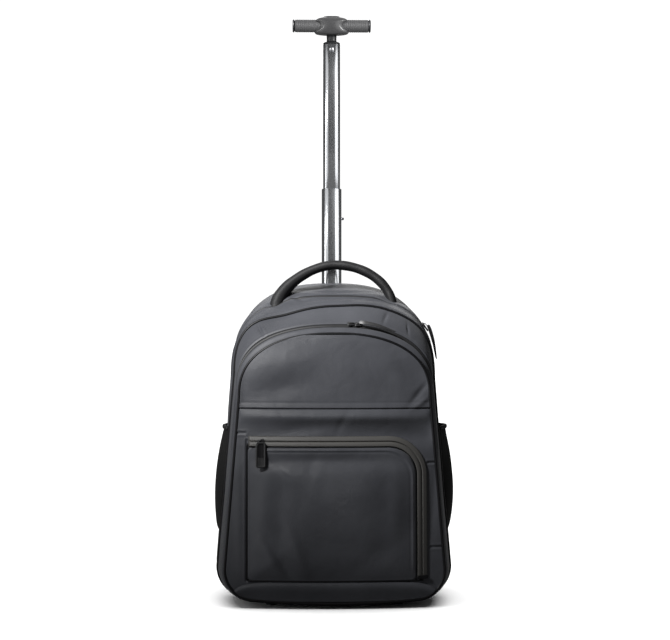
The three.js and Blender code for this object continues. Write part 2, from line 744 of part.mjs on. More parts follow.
// A solid through closed rings of points, closed by a fan at each end
function loftGeometry(rings) {
  const count = rings[0].length;
  const middleOf = (ring) =>
    [0, 1, 2].map((axis) => ring.reduce((sum, point) => sum + point[axis], 0) / count);
  const points = [...rings.flat(), middleOf(rings[0]), middleOf(rings[rings.length - 1])];
  const last = (rings.length - 1) * count;
  const ends = [rings.length * count, rings.length * count + 1];
  const triangles = [];
  for (let k = 0; k < count; k++) {
    const next = (k + 1) % count;
    for (let ring = 0; ring + 1 < rings.length; ring++) {
      const [a, b] = [ring * count + k, ring * count + next];
      triangles.push([a, b, b + count], [a, b + count, a + count]);
    }
    triangles.push([next, k, ends[0]], [last + k, last + next, ends[1]]);
  }
  return solidGeometry(points, triangles);
}

// The whole cloth body as one solid, grown by the clearance. Pieces that rest on it are cut by it.
const BODY_DEPTHS = ["front", "organiser", "divider", "middle", "before_shelf", "on_shelf", "back"];
const grownBody = loftGeometry(BODY_DEPTHS.map((name) => ringAt(rowDepth(name), -GAP)));

// The carry handle: an arch of padded webbing, its feet cut to the shape of the top
{
  const steps = 16;
  const foot = BAG_HEIGHT * 0.915;
  const stations = Array.from({ length: steps + 1 }, (_, k) => {
    const angle = Math.PI * (1.09 - 1.18 * (k / steps));
    const flare = Math.max(0, -Math.cos(angle)) ** 6;
    return {
      at: [
        HANDLE_OFFSET + ((HANDLE_SPAN - HANDLE_THICK) / 2) * Math.cos(angle),
        HANDLE_DEPTH,
        foot + (HANDLE_RISE - HANDLE_THICK / 2) * Math.sin(angle),
      ],
      wide: HANDLE_WIDE / 2,
      thick: (HANDLE_THICK / 2) * (1 + 0.5 * flare),
    };
  });
  const arch = barGeometry(stations, { sides: 10, across: [0, 1, 0], power: 2.6 });
  place("carry_handle", cut(arch, grownBody), PIPING_BLACK);
}

// The side pockets: cloth dishes open at the top, with an elastic hem along the mouth
for (const side of [1, -1]) {
  const name = side > 0 ? "right" : "left";
  const bulge = side > 0 ? SIDE_POCKET_BULGE.right : SIDE_POCKET_BULGE.left;
  const heights = [0, 0.12, 0.36, 0.68, 1];
  const depths = [0, 0.16, 0.5, 0.84, 1];
  const aroundAt = (z, depth) => {
    const ring = ringAt(depth);
    const k = ring.findIndex((point, n) => n < HALF_COUNT && ring[n + 1][2] >= z);
    return (k + (z - ring[k][2]) / (ring[k + 1][2] - ring[k][2])) / AROUND_COUNT;
  };
  const puffAt = (up, back) => {
    const mouth = mix(1, SIDE_POCKET_MOUTH / bulge, Math.max(0, (up - 0.5) / 0.5) ** 2);
    const rise = up < 0.5 ? Math.sin(Math.PI * up) ** 0.7 : 1;
    return bulge * mouth * rise * Math.sin(Math.PI * back) ** 0.7;
  };
  const pointAt = (up, back, lift) => {
    const depth = mix(SIDE_POCKET_FRONT, SIDE_POCKET_BACK, back);
    const around = aroundAt(mix(SIDE_POCKET_FOOT, SIDE_POCKET_TOP, up), depth);
    return skinPoint(side > 0 ? around : 1 - around, depth, -(puffAt(up, back) + lift));
  };
  const surface = (lift) => depths.map((back) => heights.map((up) => pointAt(up, back, lift)));
  place(
    "side_pocket_" + name,
    cut(wallGeometry(surface(GAP + CLOTH), surface(GAP)), grownBody),
    MESH_BLACK,
  );
  const radius = SIDE_POCKET_HEM / 2;
  const stations = Array.from({ length: 9 }, (_, k) => {
    const at = pointAt(1, mix(0.02, 0.98, k / 8), GAP + radius);
    return { at: [at[0], at[1], at[2] + radius + 2 * GAP], wide: radius, thick: radius };
  });
  const hem = barGeometry(stations, { sides: 6, across: [0, 0, 1] });
  place("side_pocket_hem_" + name, cut(hem, grownBody), PIPING_BLACK);
}

// An oval with straight flanks, as points round the pole's axis at a height
function ovalRing(wide, deep, z) {
  const steps = 6;
  const radius = deep / 2;
  const flat = wide / 2 - radius;
  return [1, -1].flatMap((side) =>
    Array.from({ length: steps + 1 }, (_, k) => {
      const angle = Math.PI * (k / steps - 0.5);
      return [
        side * (flat + radius * Math.cos(angle)),
        POLE_DEPTH + side * radius * Math.sin(angle),
        z,
      ];
    }),
  );
}

// A tube of the pole, open at both ends
function tube(wide, deep, wall, foot, top) {
  const rings = (inset) => [foot, top].map((z) => ovalRing(wide - 2 * inset, deep - 2 * inset, z));
  return wallGeometry(rings(0), rings(wall), { wraps: true });
}

const TUBE_STEP = 2 * (TUBE_WALL + GAP);
const LOWER_TUBE_WIDTH = UPPER_TUBE_WIDTH + TUBE_STEP;
const LOWER_TUBE_DEEP = UPPER_TUBE_DEEP + TUBE_STEP;
const OUTER_TUBE_WIDTH = LOWER_TUBE_WIDTH + TUBE_STEP;
const OUTER_TUBE_DEEP = LOWER_TUBE_DEEP + TUBE_STEP;
const LOWER_TUBE_TOP = COLLAR_TOP + LOWER_TUBE_SHOWS;
const UPPER_TUBE_TOP = LOWER_TUBE_TOP + UPPER_TUBE_SHOWS;
const OUTER_TUBE_FOOT = SOCKET_FOOT + SOCKET_FLOOR;
const OUTER_TUBE_TOP = COLLAR_TOP - 10;
const NUB_HEIGHT = LOWER_TUBE_TOP - NUB_DROP;

// The nub on the lower tube's right flank runs in a slot down the fixed tube when the pole is shut
const nubSlot = boxBetween(
  [LOWER_TUBE_WIDTH / 2 - TUBE_WALL, POLE_DEPTH - NUB_RADIUS - 2 * GAP, NUB_HEIGHT - NUB_FALL],
  [OUTER_TUBE_WIDTH, POLE_DEPTH + NUB_RADIUS + 2 * GAP, COLLAR_TOP + 1],
);
place(
  "outer_tube",
  cut(
    tube(OUTER_TUBE_WIDTH, OUTER_TUBE_DEEP, TUBE_WALL, OUTER_TUBE_FOOT, OUTER_TUBE_TOP),
    nubSlot,
  ),
  ALUMINIUM,
);
{
  const outside = 2 * (COLLAR_WALL + GAP);
  const foot = COLLAR_TOP - COLLAR_HEIGHT;
  const step = OUTER_TUBE_TOP + GAP;
  const outer = [foot, step, step + 2, COLLAR_TOP].map((z) =>
    ovalRing(OUTER_TUBE_WIDTH + outside, OUTER_TUBE_DEEP + outside, z),
  );
  const inner = [
    ovalRing(OUTER_TUBE_WIDTH + 2 * GAP, OUTER_TUBE_DEEP + 2 * GAP, foot),
    ovalRing(OUTER_TUBE_WIDTH + 2 * GAP, OUTER_TUBE_DEEP + 2 * GAP, step),
    ovalRing(LOWER_TUBE_WIDTH + 2 * GAP, LOWER_TUBE_DEEP + 2 * GAP, step),
    ovalRing(LOWER_TUBE_WIDTH + 2 * GAP, LOWER_TUBE_DEEP + 2 * GAP, COLLAR_TOP),
  ];
  place("tube_collar", cut(wallGeometry(outer, inner, { wraps: true }), nubSlot), BASE_BLACK);
}

// The lower tube with the nub riveted through its flank
const acrossTube = (radius, from, to, height) =>
  cylinderAcross(radius, from, to, POLE_DEPTH, height, 12);
const flank = LOWER_TUBE_WIDTH / 2;
place(
  "lower_tube",
  cut(
    tube(
      LOWER_TUBE_WIDTH,
      LOWER_TUBE_DEEP,
      TUBE_WALL,
      LOWER_TUBE_TOP - LOWER_TUBE_LENGTH,
      LOWER_TUBE_TOP,
    ),
    acrossTube(NUB_RADIUS - 0.4, flank - 2 * TUBE_WALL, flank + 1, NUB_HEIGHT),
  ),
  ALUMINIUM,
);
place(
  "pole_nub",
  acrossTube(NUB_RADIUS - 0.4 - GAP, flank - TUBE_WALL, flank + NUB_PROUD, NUB_HEIGHT),
  STEEL,
);

// The upper tube, with the rivet that holds the grip's plug in it
const RIVET_HEIGHT = UPPER_TUBE_TOP - RIVET_DROP;
const rivet = (radius, from, to) =>
  new THREE.CylinderGeometry(radius, radius, to - from, 12).translate(
    0,
    POLE_DEPTH - UPPER_TUBE_DEEP / 2 + (from + to) / 2,
    RIVET_HEIGHT,
  );
const rivetHole = rivet(RIVET_SHANK + GAP, -1, RIVET_LENGTH + GAP);
place(
  "upper_tube",
  cut(
    tube(
      UPPER_TUBE_WIDTH,
      UPPER_TUBE_DEEP,
      TUBE_WALL,
      UPPER_TUBE_TOP - UPPER_TUBE_LENGTH,
      UPPER_TUBE_TOP,
    ),
    rivetHole,
  ),
  ALUMINIUM,
);
{
  const head = loftGeometry(
    [
      { radius: RIVET_HEAD, out: GAP },
      { radius: RIVET_HEAD, out: GAP + 0.6 },
      { radius: RIVET_HEAD * 0.6, out: GAP + 1.5 },
    ].map(({ radius, out }) =>
      Array.from({ length: 12 }, (_, k) => [
        radius * Math.cos((Math.PI * k) / 6),
        POLE_DEPTH - UPPER_TUBE_DEEP / 2 - out,
        RIVET_HEIGHT + radius * Math.sin((Math.PI * k) / 6),
      ]),
    ),
  );
  const shank = rivet(RIVET_SHANK, -GAP - 0.5, RIVET_LENGTH);
  place("grip_rivet", toGeometry(toManifold(head).add(toManifold(shank))), STEEL);
}

// The neck: a plug in the tube, a flange over its end and the stem up to the hub
const HUB_FOOT = UPPER_TUBE_TOP + NECK_HEIGHT;
{
  const plugWide = UPPER_TUBE_WIDTH - 2 * (TUBE_WALL + GAP);
  const plugDeep = UPPER_TUBE_DEEP - 2 * (TUBE_WALL + GAP);
  const flange = UPPER_TUBE_TOP + GAP;
  const neck = loftGeometry([
    ovalRing(plugWide, plugDeep, UPPER_TUBE_TOP - PLUG_LENGTH),
    ovalRing(plugWide, plugDeep, flange),
    ovalRing(UPPER_TUBE_WIDTH, UPPER_TUBE_DEEP, flange),
    ovalRing(UPPER_TUBE_WIDTH - 2, UPPER_TUBE_DEEP - 2, flange + 2.4),
    ovalRing(NECK_WIDTH, plugDeep - 1, flange + 3.4),
    ovalRing(NECK_WIDTH, plugDeep - 1, HUB_FOOT - GAP),
  ]);
  place("grip_neck", cut(neck, rivetHole), BASE_BLACK);
}

// A squarish ring round the pole's axis
function squareRing(wide, deep, z, power, count = 20) {
  return Array.from({ length: count }, (_, k) => {
    const angle = (2 * Math.PI * (k + 0.5)) / count;
    const bend = (value) => Math.sign(value) * Math.abs(value) ** (2 / power);
    return [
      (wide / 2) * bend(Math.cos(angle)),
      POLE_DEPTH + (deep / 2) * bend(Math.sin(angle)),
      z,
    ];
  });
}

// The hub of the grip, bored for both bars and for the button in its top
const HUB_TOP = HUB_FOOT + HUB_HEIGHT;
const GRIP_HEIGHT = HUB_FOOT + GRIP_RISE;
{
  const rows = [
    { up: 0, wide: 0.76, deep: 0.8 },
    { up: 0.14, wide: 1, deep: 1 },
    { up: 0.8, wide: 1, deep: 1 },
    { up: 1, wide: 0.8, deep: 0.78 },
  ];
  const hub = loftGeometry(
    rows.map(({ up, wide, deep }) =>
      squareRing(HUB_WIDTH * wide, HUB_DEEP * deep, HUB_FOOT + HUB_HEIGHT * up, 5),
    ),
  );
  const bore = (side) =>
    cylinderAcross(
      PEG_RADIUS + GAP,
      side > 0 ? HUB_WIDTH / 2 - PEG_LENGTH - GAP : -HUB_WIDTH / 2 - 1,
      side > 0 ? HUB_WIDTH / 2 + 1 : PEG_LENGTH + GAP - HUB_WIDTH / 2,
      POLE_DEPTH,
      GRIP_HEIGHT,
      16,
    );
  const well = loftGeometry(
    [HUB_TOP - BUTTON_SUNK - BUTTON_TRAVEL - GAP, HUB_TOP + 1].map((z) =>
      squareRing(BUTTON_WIDTH + 2 * GAP, BUTTON_DEEP + 2 * GAP, z, 4),
    ),
  );
  place("grip_hub", cut(hub, bore(1), bore(-1), well), GRIP_GREY);
  place(
    "release_button",
    loftGeometry([
      squareRing(BUTTON_WIDTH, BUTTON_DEEP, HUB_TOP - BUTTON_SUNK, 4),
      squareRing(BUTTON_WIDTH, BUTTON_DEEP, HUB_TOP + BUTTON_PROUD * 0.5, 4),
      squareRing(BUTTON_WIDTH * 0.8, BUTTON_DEEP * 0.76, HUB_TOP + BUTTON_PROUD, 4),
    ]),
    BASE_BLACK,
  );
}

// The two bars of the grip, each pegged into the hub, with an end cap pegged into it
for (const side of [1, -1]) {
  const name = side > 0 ? "right" : "left";
  const start = HUB_WIDTH / 2 + GAP;
  const end = GRIP_LENGTH / 2 - CAP_LENGTH - GAP;
  const along = (radius, from, to, segments) =>
    cylinderAcross(radius, side * from, side * to, POLE_DEPTH, GRIP_HEIGHT, segments);
  const ordered = (radius, from, to, segments) =>
    side > 0 ? along(radius, from, to, segments) : along(radius, to, from, segments);
  const bar = toManifold(ordered(GRIP_RADIUS, start, end, 20))
    .add(toManifold(ordered(PEG_RADIUS, start - PEG_LENGTH, start + 1, 16)))
    .subtract(toManifold(ordered(CAP_PEG + GAP, end - CAP_LENGTH - GAP, end + 1, 12)));
  place("grip_" + name, toGeometry(bar), GRIP_GREY);
  const cap = toManifold(ordered(GRIP_RADIUS - 0.6, end + GAP, GRIP_LENGTH / 2, 20)).add(
    toManifold(ordered(CAP_PEG, end - CAP_LENGTH, end + 2 * GAP, 12)),
  );
  place("grip_cap_" + name, toGeometry(cap), BASE_BLACK);
}

// The moulded base: a hollow box open below, a well for each wheel and a socket for the pole
{
  const slice = (points, from, to) =>
    loftGeometry([from, to].map((x) => points.map(([y, z]) => [x, y, z])));
  const top = WHEEL_SHELF - 2 * GAP;
  const outside = [
    [BASE_FRONT, BASE_FLOOR_GAP],
    [BASE_BACK, BASE_FLOOR_GAP],
    [BASE_BACK, top * 0.72],
    [BASE_BACK - 11, top * 0.96],
    [BASE_BACK - 18, top],
    [BASE_FRONT + 18, top],
  ];
  const inside = [
    [BASE_FRONT + BASE_WALL + 1, -1],
    [BASE_BACK - BASE_WALL, -1],
    [BASE_BACK - BASE_WALL, top * 0.7],
    [BASE_BACK - 12.5, top * 0.96 - BASE_WALL],
    [BASE_BACK - 18, top - BASE_WALL],
    [BASE_FRONT + 21, top - BASE_WALL],
  ];
  const wellFrom = WHEEL_MIDDLE - WHEEL_WIDTH / 2 - WHEEL_CLEARANCE;
  const wellTo = WHEEL_MIDDLE + WHEEL_WIDTH / 2 + WHEEL_CLEARANCE;
  const halfWidth = wellTo + CHEEK;
  const socket = OUTER_TUBE_WIDTH / 2 + GAP + BASE_WALL;
  const socketBack = POLE_DEPTH + OUTER_TUBE_DEEP / 2 + GAP + BASE_WALL;
  const tower = (grow, foot, top) =>
    boxBetween([-socket - grow, SOCKET_FRONT - grow, foot], [socket + grow, socketBack, top]);
  const bore = loftGeometry(
    [OUTER_TUBE_FOOT - GAP, SOCKET_TOP + 1].map((z) =>
      ovalRing(OUTER_TUBE_WIDTH + 2 * GAP, OUTER_TUBE_DEEP + 2 * GAP, z),
    ),
  );
  const hollow = boxBetween(
    [BASE_WALL - socket, SOCKET_FRONT + BASE_WALL, -1],
    [socket - BASE_WALL, socketBack - BASE_WALL, SOCKET_FOOT],
  );
  place("pole_socket", cut(tower(0, BASE_FLOOR_GAP, SOCKET_TOP), bore, hollow), BASE_BLACK);
  let base = toManifold(slice(outside, -halfWidth, halfWidth))
    .subtract(toManifold(slice(inside, CHEEK - wellFrom, wellFrom - CHEEK)))
    .subtract(toManifold(tower(GAP, -1, SOCKET_TOP)));
  const wheelWell = WHEEL_RADIUS + WHEEL_CLEARANCE;
  for (const side of [1, -1]) {
    const [from, to] = side > 0 ? [wellFrom, wellTo] : [-wellTo, -wellFrom];
    const [boreFrom, boreTo] =
      side > 0 ? [wellFrom - CHEEK - 1, halfWidth + 1] : [-halfWidth - 1, CHEEK + 1 - wellFrom];
    base = base
      .subtract(toManifold(cylinderAcross(wheelWell, from, to, AXLE_DEPTH, WHEEL_RADIUS, 24)))
      .subtract(
        toManifold(
          cylinderAcross(AXLE_RADIUS + GAP, boreFrom, boreTo, AXLE_DEPTH, WHEEL_RADIUS, 16),
        ),
      );
  }
  place("base_housing", toGeometry(base), BASE_BLACK);
}

// A solid turned about a line along X, from a closed profile of rows of radius and place across
function turnedGeometry(profile, segments, across, depth, height) {
  const points = Array.from({ length: segments }, (_, k) => {
    const angle = (2 * Math.PI * k) / segments;
    return profile.map(({ radius, aside }) => [
      across + aside,
      depth + radius * Math.cos(angle),
      height + radius * Math.sin(angle),
    ]);
  }).flat();
  const count = profile.length;
  const triangles = [];
  for (let k = 0; k < segments; k++) {
    for (let n = 0; n < count; n++) {
      const [a, b] = [k * count + n, k * count + ((n + 1) % count)];
      const next = ((k + 1) % segments) * count;
      const [c, d] = [next + ((n + 1) % count), next + n];
      triangles.push([a, b, c], [a, c, d]);
    }
  }
  return solidGeometry(points, triangles);
}

// The wheels: a rubber tyre on a dished rim that turns on a fixed axle
for (const side of [1, -1]) {
  const name = side > 0 ? "right" : "left";
  const middle = side * WHEEL_MIDDLE;
  const half = WHEEL_WIDTH / 2;
  const tyreInner = WHEEL_RADIUS - TYRE_THICK;
  const rim = tyreInner - GAP;
  const tyre = [
    { radius: tyreInner, aside: -half + 1.5 },
    { radius: WHEEL_RADIUS - 4, aside: -half },
    { radius: WHEEL_RADIUS, aside: -half + 5 },
    { radius: WHEEL_RADIUS, aside: half - 5 },
    { radius: WHEEL_RADIUS - 4, aside: half },
    { radius: tyreInner, aside: half - 1.5 },
  ];
  const disc = [
    { radius: AXLE_RADIUS + GAP, aside: -half + 1 },
    { radius: AXLE_RADIUS + 5, aside: -half + 1 },
    { radius: AXLE_RADIUS + 6, aside: -4 },
    { radius: rim - 4, aside: -4 },
    { radius: rim, aside: -half + 2 },
  ];
  const mirrored = disc.map(({ radius, aside }) => ({ radius, aside: -aside })).reverse();
  const turned = (profile, segments) =>
    turnedGeometry(profile, segments, middle, AXLE_DEPTH, WHEEL_RADIUS);
  place("wheel_tyre_" + name, turned(tyre, 26), RUBBER);
  place("wheel_rim_" + name, turned([...disc, ...mirrored], 18), BASE_BLACK);
  const reach = WHEEL_WIDTH / 2 + WHEEL_CLEARANCE + CHEEK;
  place(
    "axle_" + name,
    cylinderAcross(AXLE_RADIUS, middle - reach, middle + reach, AXLE_DEPTH, WHEEL_RADIUS, 16),
    STEEL,
  );
  const foot = new THREE.CylinderGeometry(FOOT_RADIUS, FOOT_RADIUS - 1, FOOT_HEIGHT, 16)
    .rotateX(Math.PI / 2)
    .translate(side * FOOT_ACROSS, FOOT_DEPTH, FOOT_HEIGHT / 2);
  place("front_foot_" + name, cut(foot, grownBody), BASE_BLACK);
}

// The padded back: a pad each side of the pole
function roundedOutline(corners) {
  return corners.flatMap(({ x, z, radius, start }) =>
    Array.from({ length: 5 }, (_, k) => {
      const angle = Math.PI * (start + k / 8);
      return [x + radius * Math.cos(angle), z + radius * Math.sin(angle)];
    }),
  );
}
for (const side of [1, -1]) {
  const inner = PAD_INNER + PAD_INNER_CORNER;
  const outline = roundedOutline([
    { x: PAD_OUTER - PAD_CORNER, z: PAD_FOOT + PAD_CORNER, radius: PAD_CORNER, start: -0.5 },
    {
      x: PAD_OUTER - PAD_TAPER - PAD_SHOULDER,
      z: PAD_TOP - PAD_SHOULDER,
      radius: PAD_SHOULDER,
      start: 0,
    },
    { x: inner, z: PAD_TOP - PAD_INNER_CORNER, radius: PAD_INNER_CORNER, start: 0.5 },
    { x: inner, z: PAD_FOOT + PAD_INNER_CORNER, radius: PAD_INNER_CORNER, start: 1 },
  ]);
  const middle = [mix(PAD_INNER, PAD_OUTER, 0.43), mix(PAD_FOOT, PAD_TOP, 0.475)];
  const ring = (share, thick) =>
    outline.map(([x, z]) => [
      side * mix(middle[0], x, share),
      BACK_FACE + GAP + thick,
      mix(middle[1], z, share),
    ]);
  const pad = loftGeometry([
    ring(1, 0),
    ring(1, PAD_THICK * 0.4),
    ring(0.93, PAD_THICK * 0.85),
    ring(0.72, PAD_THICK),
  ]);
  place("back_pad_" + (side > 0 ? "right" : "left"), pad, PAD_BLACK);
}

// The cloth cover that carries the fixed tube down the back
{
  const inner = OUTER_TUBE_WIDTH / 2 + 5;
  const back = POLE_DEPTH + OUTER_TUBE_DEEP / 2 + 1;
  const rows = [PAD_FOOT - 6, PAD_TOP - 6];
  const profile = (grow) => [
    [-inner - grow - 1, BACK_FACE + GAP],
    [-inner - grow, back - 6],
    [-inner + 7 - grow * 0.4, back + grow],
    [inner - 7 + grow * 0.4, back + grow],
    [inner + grow, back - 6],
    [inner + grow + 1, BACK_FACE + GAP],
  ];
  const surface = (grow) => rows.map((z) => profile(grow).map(([x, y]) => [x, y, z]));
  place("tube_cover", wallGeometry(surface(CLOTH), surface(0)), CLOTH_GREY);
}

// The shoulder straps. x is a share of the strap's spread, back a share of its reach and z a share
// of its drop; wide is a share of its width.
const STRAP_PATH = [
  { x: 0, back: -0.36, z: -0.1, wide: 0.9 },
  { x: 0.04, back: -0.2, z: -0.05, wide: 1 },
  { x: 0.14, back: 0.5, z: 0.06, wide: 1 },
  { x: 0.3, back: 0.92, z: 0.22, wide: 1.05 },
  { x: 0.5, back: 1, z: 0.4, wide: 1.05 },
  { x: 0.7, back: 0.9, z: 0.6, wide: 1 },
  { x: 0.88, back: 0.66, z: 0.8, wide: 0.85 },
  { x: 1, back: 0.46, z: 1, wide: 0.55 },
];
const PAD_FACE = BACK_FACE + PAD_THICK;
for (const side of [1, -1]) {
  const name = side > 0 ? "right" : "left";
  const toPlace = ({ x, back, z }) => [
    side * mix(STRAP_START, STRAP_FINISH, x),
    PAD_FACE + STRAP_THICK / 2 + STRAP_REACH * back,
    mix(STRAP_TOP, STRAP_END, z),
  ];
  const stations = STRAP_PATH.map((row) => ({
    at: toPlace(row),
    wide: (STRAP_WIDTH / 2) * row.wide,
    thick: STRAP_THICK / 2,
  }));
  place(
    "shoulder_strap_" + name,
    barGeometry(stations, { sides: 10, across: [1, 0, 0], power: 3 }),
    PAD_BLACK,
  );
  const end = toPlace(STRAP_PATH[STRAP_PATH.length - 1]);
  const lock = [end[0], end[1] - 1, end[2] - LOCK_HEIGHT / 2 - 2];
  const frame = boxBetween(
    [lock[0] - LOCK_WIDTH / 2, lock[1] - 3, lock[2] - LOCK_HEIGHT / 2],
    [lock[0] + LOCK_WIDTH / 2, lock[1] + 3, lock[2] + LOCK_HEIGHT / 2],
  );
  const slot = (low) =>
    boxBetween(
      [lock[0] - WEBBING_WIDTH / 2 - 1, lock[1] - 5, lock[2] + low],
      [lock[0] + WEBBING_WIDTH / 2 + 1, lock[1] + 5, lock[2] + low + LOCK_SLOT],
    );
  place("ladder_lock_" + name, cut(frame, slot(2), slot(-LOCK_SLOT - 2)), BASE_BLACK);
  const under = lock[2] - LOCK_HEIGHT / 2 - 2 * GAP;
  const webbing = [
    [lock[0], lock[1], under],
    [lock[0], lock[1], under - 5],
    [side * (WEBBING_ACROSS - 8), PAD_FACE + 5, PAD_FOOT + 8],
    [side * WEBBING_ACROSS, BACK_FACE + WEBBING_THICK / 2 + 4 * GAP, WEBBING_FOOT + 4],
    [side * WEBBING_ACROSS, BACK_FACE + WEBBING_THICK / 2 + GAP, WEBBING_FOOT - 6],
  ].map(([x, y, z]) =>
    [[1, 1], [-1, 1], [-1, -1], [1, -1]].map(([a, b]) => [
      x + (a * WEBBING_WIDTH) / 2,
      y + (b * WEBBING_THICK) / 2,
      z,
    ]),
  );
  place("strap_webbing_" + name, loftGeometry(webbing.reverse()), PAD_BLACK);
}

// A slider on a zip, and the pull that hangs from it. The slider lies on the skin, along the zip.
function zipSlider(name, around, depth) {
  const at = vector(skinPoint(around, depth, -ZIP_RIDGE - GAP));
  const along = vector(skinPoint(around + 0.01, depth, -ZIP_RIDGE - GAP)).sub(at).normalize();
  const behind = vector(skinPoint(around, depth + 2, -ZIP_RIDGE - GAP)).sub(at);
  const deep = behind.addScaledVector(along, -behind.dot(along)).normalize();
  const out = new THREE.Vector3().crossVectors(deep, along).normalize();
  if (out.dot(at.clone().setY(0).sub(new THREE.Vector3(0, 0, BAG_HEIGHT / 2))) < 0) out.negate();
  const ring = (wide, long, up) =>
    [[1, 1], [-1, 1], [-1, -1], [1, -1]].map(([a, b]) =>
      at
        .clone()
        .addScaledVector(along, (a * long) / 2)
        .addScaledVector(deep, (b * wide) / 2)
        .addScaledVector(out, up)
        .toArray(),
    );
  const [wide, long, high] = [SLIDER_WIDTH, SLIDER_LENGTH, SLIDER_HEIGHT];
  place(
    name,
    loftGeometry([
      ring(wide, long, 0),
      ring(wide, long, high * 0.6),
      ring(wide * 0.6, long * 0.7, high),
    ]),
    STEEL,
  );
  return at.addScaledVector(out, high + GAP);
}

// A pull: a thin tab that starts on its slider and runs by the steps of the path given
function zipPull(name, start, steps, across) {
  const stations = steps.map((step) => ({
    at: start.clone().add(vector(step)).toArray(),
    wide: PULL_WIDTH / 2,
    thick: PULL_THICK / 2,
  }));
  place(name, barGeometry(stations, { sides: 4, across }), BASE_BLACK);
}
{
  const organiser = zipSlider("organiser_slider", ORGANISER_SLIDER_AROUND, ORGANISER_ZIP_DEPTH);
  zipPull("organiser_pull", organiser, [[0, -0.6, 1.1], [24, -5, 0], [54, -6, -8]], [0, 1, 0.4]);
  const main = zipSlider("main_slider", MAIN_SLIDER_AROUND, MAIN_ZIP_DEPTH);
  zipPull("main_pull", main, [[2, 0, 1.5], [8, -2, -14], [17, -3, -44]], [0, 1, 0]);
}

// The slider of the front pocket's zip stands at its left end, with its pull hanging down
{
  const x = POCKET_LEFT + SLIDER_LENGTH + 8;
  const z = POCKET_TOP + POCKET_ZIP_WIDTH / 2 + 1;
  const y = faceDepth(x, z) - FACE_LIFT - POCKET_ZIP_THICK - 4 * GAP;
  place(
    "pocket_slider",
    boxBetween(
      [x - SLIDER_LENGTH / 2, y - SLIDER_HEIGHT, z - SLIDER_WIDTH / 2],
      [x + SLIDER_LENGTH / 2, y, z + SLIDER_WIDTH / 2],
    ),
    STEEL,
  );
  const front = y - SLIDER_HEIGHT - GAP - PULL_THICK / 2;
  zipPull(
    "pocket_pull",
    vector([x, front, z]),
    [[0, 0, 1], [0, -6, -14], [0, -11, -36]],
    [1, 0, 0],
  );
}

// The whole is moved so that its middle from front to back stands over the origin
const bounds = new THREE.Box3().setFromObject(group);
const middleDepth = bounds.getCenter(new THREE.Vector3()).y;
for (const mesh of group.children) mesh.geometry.translate(0, -middleDepth, -bounds.min.z);

export default group;
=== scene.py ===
import json
import math

import bmesh
import bpy
import numpy as np
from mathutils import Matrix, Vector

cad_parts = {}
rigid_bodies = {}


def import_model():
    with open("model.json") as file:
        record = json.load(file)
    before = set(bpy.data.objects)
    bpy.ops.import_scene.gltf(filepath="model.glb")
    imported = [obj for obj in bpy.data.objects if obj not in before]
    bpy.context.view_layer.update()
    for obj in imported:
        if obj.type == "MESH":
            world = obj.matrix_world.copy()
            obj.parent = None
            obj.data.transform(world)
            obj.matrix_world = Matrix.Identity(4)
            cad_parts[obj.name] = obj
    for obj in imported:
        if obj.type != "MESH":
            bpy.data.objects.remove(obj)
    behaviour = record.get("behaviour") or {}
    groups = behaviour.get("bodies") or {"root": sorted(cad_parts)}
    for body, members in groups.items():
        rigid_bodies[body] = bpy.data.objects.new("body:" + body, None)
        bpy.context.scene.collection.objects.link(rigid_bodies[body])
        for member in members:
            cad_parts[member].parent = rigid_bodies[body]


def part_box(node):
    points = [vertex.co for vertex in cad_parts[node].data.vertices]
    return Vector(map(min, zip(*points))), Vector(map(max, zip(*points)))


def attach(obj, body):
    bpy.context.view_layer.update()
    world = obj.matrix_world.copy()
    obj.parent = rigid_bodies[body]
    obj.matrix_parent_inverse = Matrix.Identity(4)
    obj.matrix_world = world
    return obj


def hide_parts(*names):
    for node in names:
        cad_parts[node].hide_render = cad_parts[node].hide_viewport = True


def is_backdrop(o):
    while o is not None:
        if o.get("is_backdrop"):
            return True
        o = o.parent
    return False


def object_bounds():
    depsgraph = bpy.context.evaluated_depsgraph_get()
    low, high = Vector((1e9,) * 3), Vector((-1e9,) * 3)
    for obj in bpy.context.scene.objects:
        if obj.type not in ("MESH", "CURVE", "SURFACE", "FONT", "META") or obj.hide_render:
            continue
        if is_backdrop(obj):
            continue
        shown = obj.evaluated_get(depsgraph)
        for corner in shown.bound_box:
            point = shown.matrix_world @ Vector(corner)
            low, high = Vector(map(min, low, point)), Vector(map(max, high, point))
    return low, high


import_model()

cad_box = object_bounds()

# The studio: white paper under its own light, a key spot high on the left, weak suns overhead and
# from behind, and softboxes. Flags keep the key off the paper and off the pole, whose polished
# tubes show boxes of their own as bright bands.
SCENE = bpy.context.scene
CAMERA_DISTANCE = 2.5
CAMERA_HEIGHT = 0.431
CAMERA_TURN = math.radians(1.5)
FACE_Y = -0.1091
FOCAL_PIXELS = 1667
FRAME_PIXELS = 670
SENSOR = 36
FLOOR_RADIUS = 30
SOFTBOXES = [
    # name, place, size, watts
    ("bag_left", (-1.7, -0.75, 0.75), (0.35, 1.5), 8),
    ("pole_left", (-0.8, -0.8, 1.1), (1.4, 1.6), 6),
    ("pole_right", (0.8, -0.8, 1.1), (1.5, 1.6), 13),
    ("grip_left", (-0.8, -1.0, 1.25), (0.2, 0.3), 3),
    ("grip_right", (0.9, -1.0, 1.35), (0.3, 0.3), 14),
]
KEY_PLACE = (-1.3, -1.25, 1.75)
KEY_AIM = (-0.04, -0.08, 0.8)
KEY_WATTS = 850
KEY_CONE = 35


def linear(colour):
    """sRGB hex to linear: c / 12.92 under .04045, else ((c + .055) / 1.055) to the power 2.4."""
    shares = np.array([int(colour[k : k + 2], 16) for k in (0, 2, 4)]) / 255
    bent = np.where(shares < 0.04045, shares / 12.92, ((shares + 0.055) / 1.055) ** 2.4)
    return (*bent.tolist(), 1)


